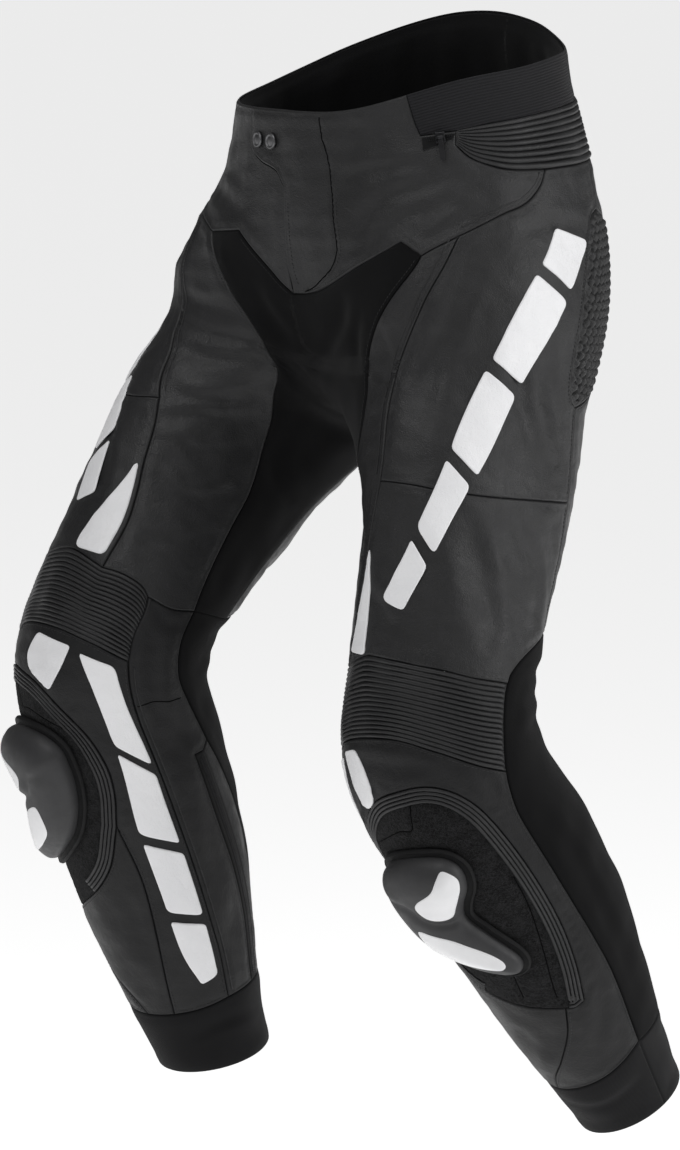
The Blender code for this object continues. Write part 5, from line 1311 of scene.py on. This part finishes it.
def make_puck(leg):
    moulding(f"puck_plate_{leg}_fine", leg, widened(RIM_LINE, PLATE["wider"])[::2],
             lambda s: PLATE["rise"] + PLATE["wall"] - 1.1 * np.exp(-(s.dist / .6) ** 2) + .9 * np.exp(-((s.dist - 1.7) / .75) ** 2),
             lambda s: np.full(len(s.dist), PLATE["rise"] - .3), PLATE_BLACK, 2.6, (.5, 1.1, 1.8, 2.6), f"puck_plate_{leg}")
    moulding(f"puck_{leg}_fine", leg, RIM_LINE, lambda s: puck_top(s.av), lambda s: np.full(len(s.dist), PLATE["rise"] + PLATE["wall"] - .5),
             PLASTIC, 1.7, (.3, .8, 1.5, 2.4), f"puck_{leg}")
    for part, rim in PUCK_WHITES.items():
        moulding(f"puck_white_{part}_{leg}", leg, ringed(rim, 1.4),
                 lambda s: puck_top(s.av) + .55 - .45 * np.exp(-(s.dist / .35) ** 2), lambda s: puck_top(s.av) - .8,
                 PUCK_WHITE, 1.6, (.25, .7, 1.3))


def lathe(name, centre, axis, profile, mat, count=56):
    """A turned piece: rows of (radius, height) in mm round an axis, closed at both ends."""
    z = unit(axis)
    x = unit(np.cross(z, [0, 0, 1.0]))
    y = np.cross(z, x)
    t = np.arange(count) * 2 * math.pi / count
    rows = [centre + z * h + r * (np.cos(t)[:, None] * x + np.sin(t)[:, None] * y) for r, h in profile]
    verts = np.concatenate(rows + [[centre + z * profile[0][1]], [centre + z * profile[-1][1]]])
    faces, m = [], len(profile)
    for i in range(m - 1):
        for k in range(count):
            q = (k + 1) % count
            faces += [[i * count + k, i * count + q, (i + 1) * count + q], [i * count + k, (i + 1) * count + q, (i + 1) * count + k]]
    for k in range(count):
        q = (k + 1) % count
        faces += [[m * count, q, k], [m * count + 1, (m - 1) * count + k, (m - 1) * count + q]]
    obj = new_object(name, verts, np.array(faces), mat)
    obj.data.set_sharp_from_angle(angle=math.radians(40))
    return obj


SNAPS = {"snap_1": (-.55, .62), "snap_2": (-.24, .62)}
SNAP_PROFILE = [(6.2, -.4), (6.55, .1), (6.6, .9), (6.35, 1.55), (5.9, 1.95), (5.3, 2.1), (4.9, 1.95), (4.6, 1.45), (4.3, 1.3),
                (3.6, 1.4), (3.1, 1.75), (2.2, 2.05), (1.1, 2.2), (.25, 2.22)]


def make_snaps():
    for node, (a, v) in SNAPS.items():
        p, n = on_form("L", [a], [v])
        obj = lathe(node + "_fine", p[0] + n[0] * (FLAP_LIFT + .45), n[0], SNAP_PROFILE, METAL)
        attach(obj, BODY)
        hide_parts(node)


def teeth(name, leg, pts, lift, mat, pitch=1.7, size=(2.3, .95, 1.0), away=1.15):
    """Two rows of small blocks that mesh along a line."""
    av = spaced(leg, curve(pts), 1.0)
    p, n = on_form(leg, av[:, 0], av[:, 1])
    run = np.concatenate([[0], np.cumsum(np.linalg.norm(np.diff(p, axis=0), axis=1))])
    cube = np.array([[x, y, z] for x in (-.5, .5) for y in (-.5, .5) for z in (-.5, .5)])
    quads = np.array([[0, 1, 3, 2], [4, 6, 7, 5], [0, 4, 5, 1], [2, 3, 7, 6], [0, 2, 6, 4], [1, 5, 7, 3]])
    tri = np.concatenate([quads[:, [0, 1, 2]], quads[:, [0, 2, 3]]])
    verts, faces = [], []
    for k, s in enumerate(np.arange(1, run[-1] - 1, pitch / 2)):
        c = np.array([np.interp(s, run, p[:, i]) for i in range(3)])
        z = unit(np.array([np.interp(s, run, n[:, i]) for i in range(3)]))
        y = unit(np.array([np.interp(s + .5, run, p[:, i]) - np.interp(s - .5, run, p[:, i]) for i in range(3)]))
        x = np.cross(y, z) * (1 if k % 2 else -1)
        shape = cube * size * np.where(cube[:, 2:] > 0, .82, 1.0)
        verts.append(c + z * lift + x * away + shape @ np.stack([x, y, z]))
        faces.append((tri if k % 2 else tri[:, ::-1]) + 8 * len(faces))
    obj = new_object(name, np.concatenate(verts), np.concatenate(faces), mat)
    obj.data.set_sharp_from_angle(angle=math.radians(30))
    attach(obj, BODY)
    return obj


# ---- stitches ---------------------------------------------------------------------------
def stitch_mesh(name, lines, mat, pitch=3.3, length=2.35, radius=.27):
    """Short threads laid end to end along lines of (place, normal) in mm."""
    verts, tris = [], []
    ring = np.array([[math.cos(t), math.sin(t)] for t in np.arange(4) * math.pi / 2])
    base = []
    for j in range(4):
        k = (j + 1) % 4
        base += [[0, 1 + k, 1 + j], [1 + j, 1 + k, 5 + k], [1 + j, 5 + k, 5 + j], [5 + j, 5 + k, 9 + k], [5 + j, 9 + k, 9 + j],
                 [13, 9 + j, 9 + k]]
    base = np.array(base)
    at = 0
    for place, normal in lines:
        run = np.concatenate([[0], np.cumsum(np.linalg.norm(np.diff(place, axis=0), axis=1))])
        if run[-1] < pitch * 2:
            continue
        s = np.arange(pitch * .5, run[-1] - pitch * .3, pitch)
        get = lambda w, arr: np.stack([np.interp(w, run, arr[:, k]) for k in range(3)], 1)
        mid, nrm = get(s, place), unit(get(s, normal))
        tan = unit(get(s + .6, place) - get(s - .6, place))
        side = unit(np.cross(nrm, tan))
        tan = unit(tan + side * .10)
        half = length / 2
        rows = [mid - tan * half - nrm * .26]
        for off, r, up in ((-.72, .8, -.02), (0, 1.0, .12), (.72, .8, -.02)):
            for c, d in ring:
                rows.append(mid + tan * half * off + side * c * radius * r + nrm * (d * radius * r + up))
        rows.append(mid + tan * half - nrm * .26)
        v = np.stack(rows, 1)
        verts.append(v.reshape(-1, 3))
        tris.append((base[None] + (at + np.arange(len(mid)) * 14)[:, None, None]).reshape(-1, 3))
        at += len(mid) * 14
    obj = new_object(name, np.concatenate(verts), np.concatenate(tris), mat)
    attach(obj, BODY)
    return obj


def cords(name, lines, mat, radius, squash=.7, sides=6):
    """Round cords laid along lines of (place, normal) in mm, each closed at its ends."""
    t = np.arange(sides) * 2 * math.pi / sides
    verts, tris, at = [], [], 0
    for place, normal in lines:
        side = unit(np.cross(normal, unit(np.gradient(place, axis=0))))
        n = len(place)
        ring = place[:, None] + radius * (np.cos(t)[None, :, None] * side[:, None] + squash * np.sin(t)[None, :, None] * normal[:, None])
        verts += [ring.reshape(-1, 3), place[:1], place[-1:]]
        i, k = np.arange(n - 1)[:, None] * sides + at, np.arange(sides)[None]
        q = (k + 1) % sides
        a, b, c, d = i + k, i + q, i + sides + k, i + sides + q
        tris += [np.stack([a, b, d], -1).reshape(-1, 3), np.stack([a, d, c], -1).reshape(-1, 3)]
        first, last, k, q = at, at + (n - 1) * sides, k[0], q[0]
        tris += [np.stack([np.full(sides, at + n * sides), first + q, first + k], 1),
                 np.stack([np.full(sides, at + n * sides + 1), last + k, last + q], 1)]
        at += n * sides + 2
    obj = new_object(name, np.concatenate(verts), np.concatenate(tris), mat)
    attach(obj, BODY)
    return obj


def atop(p, which):
    """Height of one sheet, by its place in HEIGHTS, near points of the form."""
    q, h = HEIGHTS[which]
    far = np.linalg.norm(p[:, None] - q[None], axis=2)
    near = np.argsort(far, axis=1)[:, :4]
    w = 1 / (np.take_along_axis(far, near, 1) + .25) ** 2
    return (w * h[near]).sum(1) / w.sum(1)


def laid(p, n, lift):
    """A line brought back onto the cloth, and held a little above it."""
    h = under(p)
    q = np.array([np.mean([TREE["p"][g[1]] for g in TREE["tree"].find_n(x, 4)], axis=0) for x in p])
    off = ((q - p) * n).sum(1)
    off = np.convolve(np.pad(off, 4, "edge"), np.ones(9) / 9, "valid")
    return p + n * (off + h + lift)[:, None], n


def offset_line(leg, av, away, toward):
    """A seam's line moved `away` mm sideways, towards a point (a, v) of the panel."""
    p, n = on_form(leg, av[:, 0], av[:, 1])
    t = unit(np.gradient(p, axis=0))
    side = unit(np.cross(n, t))
    q, _ = on_form(leg, [toward[0]], [toward[1]])
    if ((q[0] - p[len(p) // 2]) * side[len(p) // 2]).sum() < 0:
        side = -side
    return p + side * away, n


def stitched(leg, name, toward, away=2.75, trim=2):
    av = seam(leg, name)[trim:-trim or None]
    p, n = offset_line(leg, av, away, toward)
    return p + n * (under(p) + .12)[:, None], n


def line_on(leg, pts, lift=.12):
    av = spaced(leg, eased(leg, curve(pts)), 2.0)
    p, n = on_form(leg, av[:, 0], av[:, 1])
    return p + n * (under(p) + lift)[:, None], n


PILE_LINES = [  # stitched lines across the pile, as (a, v)
    [(1.28, 11.72), (1.18, 11.93), (1.04, 12.20), (.74, 12.20), (.23, 12.32), (-.15, 12.42)],
    [(2.34, 13.30), (2.30, 13.75), (2.16, 14.30), (1.94, 15.02), (1.88, 15.27)],
    [(1.24, 14.72), (1.20, 14.89), (1.17, 15.10)],
]

# ---- build ------------------------------------------------------------------------------
SHEETS = make_yokes()
make_band()
make_lining()
make_lumbar()
make_gusset()
for LEG_NAME in "LR":
    for NAME, (SIDES, MAT, HEIGHT) in PANELS.items():
        panel(f"{NAME}_{LEG_NAME}", LEG_NAME, SIDES, MAT, HEIGHT,
              closed=NAME == "cuff")
    TOP = np.concatenate([seam(LEG_NAME, "knee_top_i"), seam(LEG_NAME, "knee_top_o")[1:]])
    ribs(f"knee_pleats_{LEG_NAME}", LEG_NAME, TOP, seam(LEG_NAME, "knee_low"), seam(LEG_NAME, "knee_in"),
         seam(LEG_NAME, "knee_out"), 17, 1.75, LEATHER_RIB)
    # the padded leaf on the hip: small raised squares set on the diagonal
    HIPS = Sheet(LEG_NAME, *fill(LEG_NAME, outline(LEG_NAME, ["hip_front", "-hip_back"]), 1.25))

    def hip_height(s):
        x, y = s.xy[:, 0], s.xy[:, 1]
        u, w = (x * .80 + y * .60) / 8.6, (x * .80 - y * .60) / 8.6
        cell = np.abs(np.sin(math.pi * u)) * np.abs(np.sin(math.pi * w))
        return (-2.5 + 5.0 * cell ** .42) * smooth((s.dist - .5) / 4) - .9 * np.exp(-(s.dist / 1.0) ** 2)

    OBJ = cloth(f"hip_panel_{LEG_NAME}", HIPS, LEATHER_RIB, 1.0, hip_height)
    declare(OBJ, f"hip_panel_{LEG_NAME}", HIPS)
    PILE = Sheet(LEG_NAME, *fill(LEG_NAME, outline(LEG_NAME, ["pad_top", "pad_end", "pad_low"]), 2.0))
    OBJ = cloth(f"knee_velcro_{LEG_NAME}", PILE, VELCRO, 1.6,
                lambda s: -.5 + sum(groove(s, LEG_NAME, pts, 1.3, .9) for pts in PILE_LINES) + .35 * waves(s.place, 50, 10, 41) * smooth(s.dist / 10) + .12 * waves(s.place, 4, 30, 42)
                - .6 * np.exp(-(s.dist / .8) ** 2))
    declare(OBJ, f"knee_velcro_{LEG_NAME}", PILE)
for LEG_NAME in "LR":
    for NAME in ("thigh_stripe", "thigh_spear", "knee_flash", "shin_stripe"):
        inlay(NAME, LEG_NAME)

ROWS = []
for LEG_NAME in "LR":
    for NAME, TOWARD in (("yoke_outer", (3.2, 1.9)), ("yoke_strip", (2.3, 2.2)), ("pleat_yoke", (3.2, 1.9)), ("vee", (1.2, 2.2)),
                         ("elastic_zip", (2.5, 1.1)), ("elastic_end", (1.6, .5)),
                         ("knee_low", (1.2, 11.2)), ("pad_top", (.4, 11.2)), ("pad_end", (2.9, 15.9)), ("shin_out", (2.6, 16.2)), ("calf_out", (2.8, 14)),
                         ("shin_in", (-1.6, 15)), ("medial", (-1.3, 13)), ("gusset", (1.6, 5.2)), ("knee_top_o", (2, 8.8)),
                         ("knee_top_i", (-1, 8.8)), ("zip_front", (-2.5, 15)), ("zip_back", (-4.0, 15)), ("side_mid", (4.6, 5.7)),
                         ("side_low", (4.8, 7.5)), ("pad_low", (.6, 16)), ("cuff_1", (2, 16.5)), ("cuff_3", (-1.6, 16.5)),
                         ("cuff_4", (-2.8, 16.5)), ("strip_up", (1.0, 4.5)), ("strip_low", (-.9, 8)), ("pleat_seat", (7, 2.6)),
                         ("calf_top_b", (6.6, 7.8)), ("hip_front", (4.4, 3.8)), ("hip_back", (7.2, 3.8))):
        ROWS.append(stitched(LEG_NAME, NAME, TOWARD))
ROWS.append(stitched("L", "centre_back", (7.5, 3.4)))
ROWS.append(line_on("L", [(a + .06, v) for a, v in J_LINE]))
ROWS.append(line_on("L", [(-.74, .12), (-.73, .4), (-.66, .78), (-.45, .95), (-.15, 1.08), (.08, 1.4), (.1, 1.8), (.1, 2.6), (.12, 3.4)]))
ROWS.append(line_on("L", [(-.7, .07), (.3, .07), (1.2, .07), (1.95, .07)]))
ROWS.append(line_on("R", [(.95, .07), (1.4, .07), (1.95, .07)]))
HALFWAY = len(ROWS) // 2
BOUND, DOUBLED, SHADOW_CORDS = [], [], []
for LEG_NAME in "LR":
    LOW = seam(LEG_NAME, "pad_low")
    LINE = np.concatenate([LOW[int(len(LOW) * .46):], seam(LEG_NAME, "pad_top")[1:], seam(LEG_NAME, "pad_end")[1:]])
    for AWAY in (1.7, 4.9, 8.1, 11.3):
        BOUND.append(laid(*offset_line(LEG_NAME, LINE[1:-1], AWAY, (.6, 13.4)), .35))
    for NAME, TOWARD, AWAY in (("strip_up", (1.0, 4.5), 5.6), ("yoke_outer", (3.2, 1.9), 5.6), ("medial", (-2.2, 13), 4.6)):
        DOUBLED.append(laid(*offset_line(LEG_NAME, seam(LEG_NAME, NAME)[2:-2], AWAY, TOWARD), .0))
    # near-black cords along the stitched lines across the pile and on the calf: painted shade in their grooves
    for PTS in PILE_LINES:
        SHADOW_CORDS.append(line_on(LEG_NAME, PTS, .05))
    SHADOW_CORDS.append(line_on(LEG_NAME, [(-1.72, 12.04), (-2.1, 11.97), (-2.44, 12.0), (-2.75, 11.98)], .05))
# near-black cords along the fly's stitched line and down the centre front: painted shade in these seams
FLY_P, FLY_N = on_form("L", *spaced("L", eased("L", curve(J_LINE)), 2.0).T)
SHADOW_CORDS.append((FLY_P + FLY_N * (atop(FLY_P, 1) + .2)[:, None], FLY_N))     # the left yoke is the second sheet made
SHADOW_CORDS.append(line_on("L", [(0, 1.5), (0, 2.1), (0, 2.8), (0, 3.5)], .45))
# a near-black cord just under the flap's edge: a painted shadow
EDGE_P, EDGE_N = offset_line("L", spaced("L", curve(FLAP_EDGE[1:]), 2.0), 1.2, (-1.4, 1.6))
SHADOW_CORDS.append((EDGE_P + EDGE_N * .45, EDGE_N))
cords("knee_binding", BOUND, LEATHER_RIB, 1.45, .8, 8)
cords("doubled_seams", DOUBLED, LEATHER, .62, .8)
# the painted seam shadows, laid as near-black cords
cords("seam_cords", SHADOW_CORDS, SHADOW_THREAD, .46, .7)
for K, PART in enumerate((ROWS[:HALFWAY], ROWS[HALFWAY:])):
    stitch_mesh(f"stitches_{K + 1}", PART, THREAD)

make_snaps()
for LEG_NAME in "LR":
    make_puck(LEG_NAME)
    teeth(f"calf_zip_teeth_{LEG_NAME}", LEG_NAME, [(-2.93, 13.25), (-3.16, 14.28), (-3.41, 15.11), (-3.64, 15.94), (-3.64, 16.85)],
          .2, ZIP_METAL)
teeth("joining_zip_teeth", "L", [(2.30, .90), (2.5, .93), (2.72, .965)], 2.2, ZIP_METAL, size=(1.7, .7, .8), away=.8, pitch=1.4)

for NODE, MAT in (("joining_zip_slider", ZIP_METAL), ("joining_zip_pull", ZIP_METAL), ("joining_zip_tape", TAPE)):
    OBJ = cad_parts[NODE]
    OBJ = bpy.data.objects[OBJ] if isinstance(OBJ, str) else OBJ
    OBJ.data.materials.clear()
    OBJ.data.materials.append(MAT)
# ---- camera, floor and light --------------------------------------------------------------
FLOOR_Z = -1.15
MESH = bpy.data.meshes.new("floor")
MESH.from_pydata([(-60, -60, FLOOR_Z), (60, -60, FLOOR_Z), (60, 60, FLOOR_Z), (-60, 60, FLOOR_Z)], [], [(0, 1, 2, 3)])
FLOOR = bpy.data.objects.new("floor", MESH)
bpy.context.scene.collection.objects.link(FLOOR)
MAT, N = node_material("pale_floor", (.93, .93, .93), .9, spec=.1)
N.bsdf.inputs["Emission Color"].default_value = (1, 1, 1, 1)
N.bsdf.inputs["Emission Strength"].default_value = .72
MESH.materials.append(MAT)

AZ, EL, DIST = math.radians(50), math.radians(8.5), 5.0
TARGET = Vector((.0118, -.0760, -.3867))
BACK = Vector((math.sin(AZ) * math.cos(EL), -math.cos(AZ) * math.cos(EL), math.sin(EL)))
CAM = bpy.data.objects.new("camera", bpy.data.cameras.new("camera"))
CAM.data.sensor_width, CAM.data.lens = 36.0, 6045 / 1150 * 36
CAM.data.clip_end = 200
CAM.location = TARGET + BACK * DIST
CAM.rotation_euler = BACK.to_track_quat("Z", "Y").to_euler()
bpy.context.scene.collection.objects.link(CAM)
bpy.context.scene.camera = CAM


def area_light(name, azimuth, elevation, distance, size, power_w, colour=(1, 1, 1)):
    a, e = math.radians(azimuth), math.radians(elevation)
    back = Vector((math.sin(a) * math.cos(e), -math.cos(a) * math.cos(e), math.sin(e)))
    light = bpy.data.lights.new(name, "AREA")
    light.shape, light.size, light.size_y = "RECTANGLE", size[0], size[1]
    light.energy, light.color = power_w, colour
    obj = bpy.data.objects.new(name, light)
    obj.location = Vector((0, 0, -.4)) + back * distance
    obj.rotation_euler = back.to_track_quat("Z", "Y").to_euler()
    bpy.context.scene.collection.objects.link(obj)
    return obj


area_light("key", 20, 52, 2.6, (1.6, 1.6), 24)
area_light("fill", 100, 28, 3.0, (1.2, 2.0), 10)
area_light("side", 128, 18, 2.6, (.45, 1.7), 24)
area_light("top", 50, 85, 2.4, (2.2, 2.2), 11)
WORLD = bpy.data.worlds.new("studio")
WORLD.use_nodes = True
WORLD.node_tree.nodes["Background"].inputs["Color"].default_value = (1, 1, 1, 1)
WORLD.node_tree.nodes["Background"].inputs["Strength"].default_value = .12
bpy.context.scene.world = WORLD
bpy.context.scene.view_settings.view_transform = "Standard"
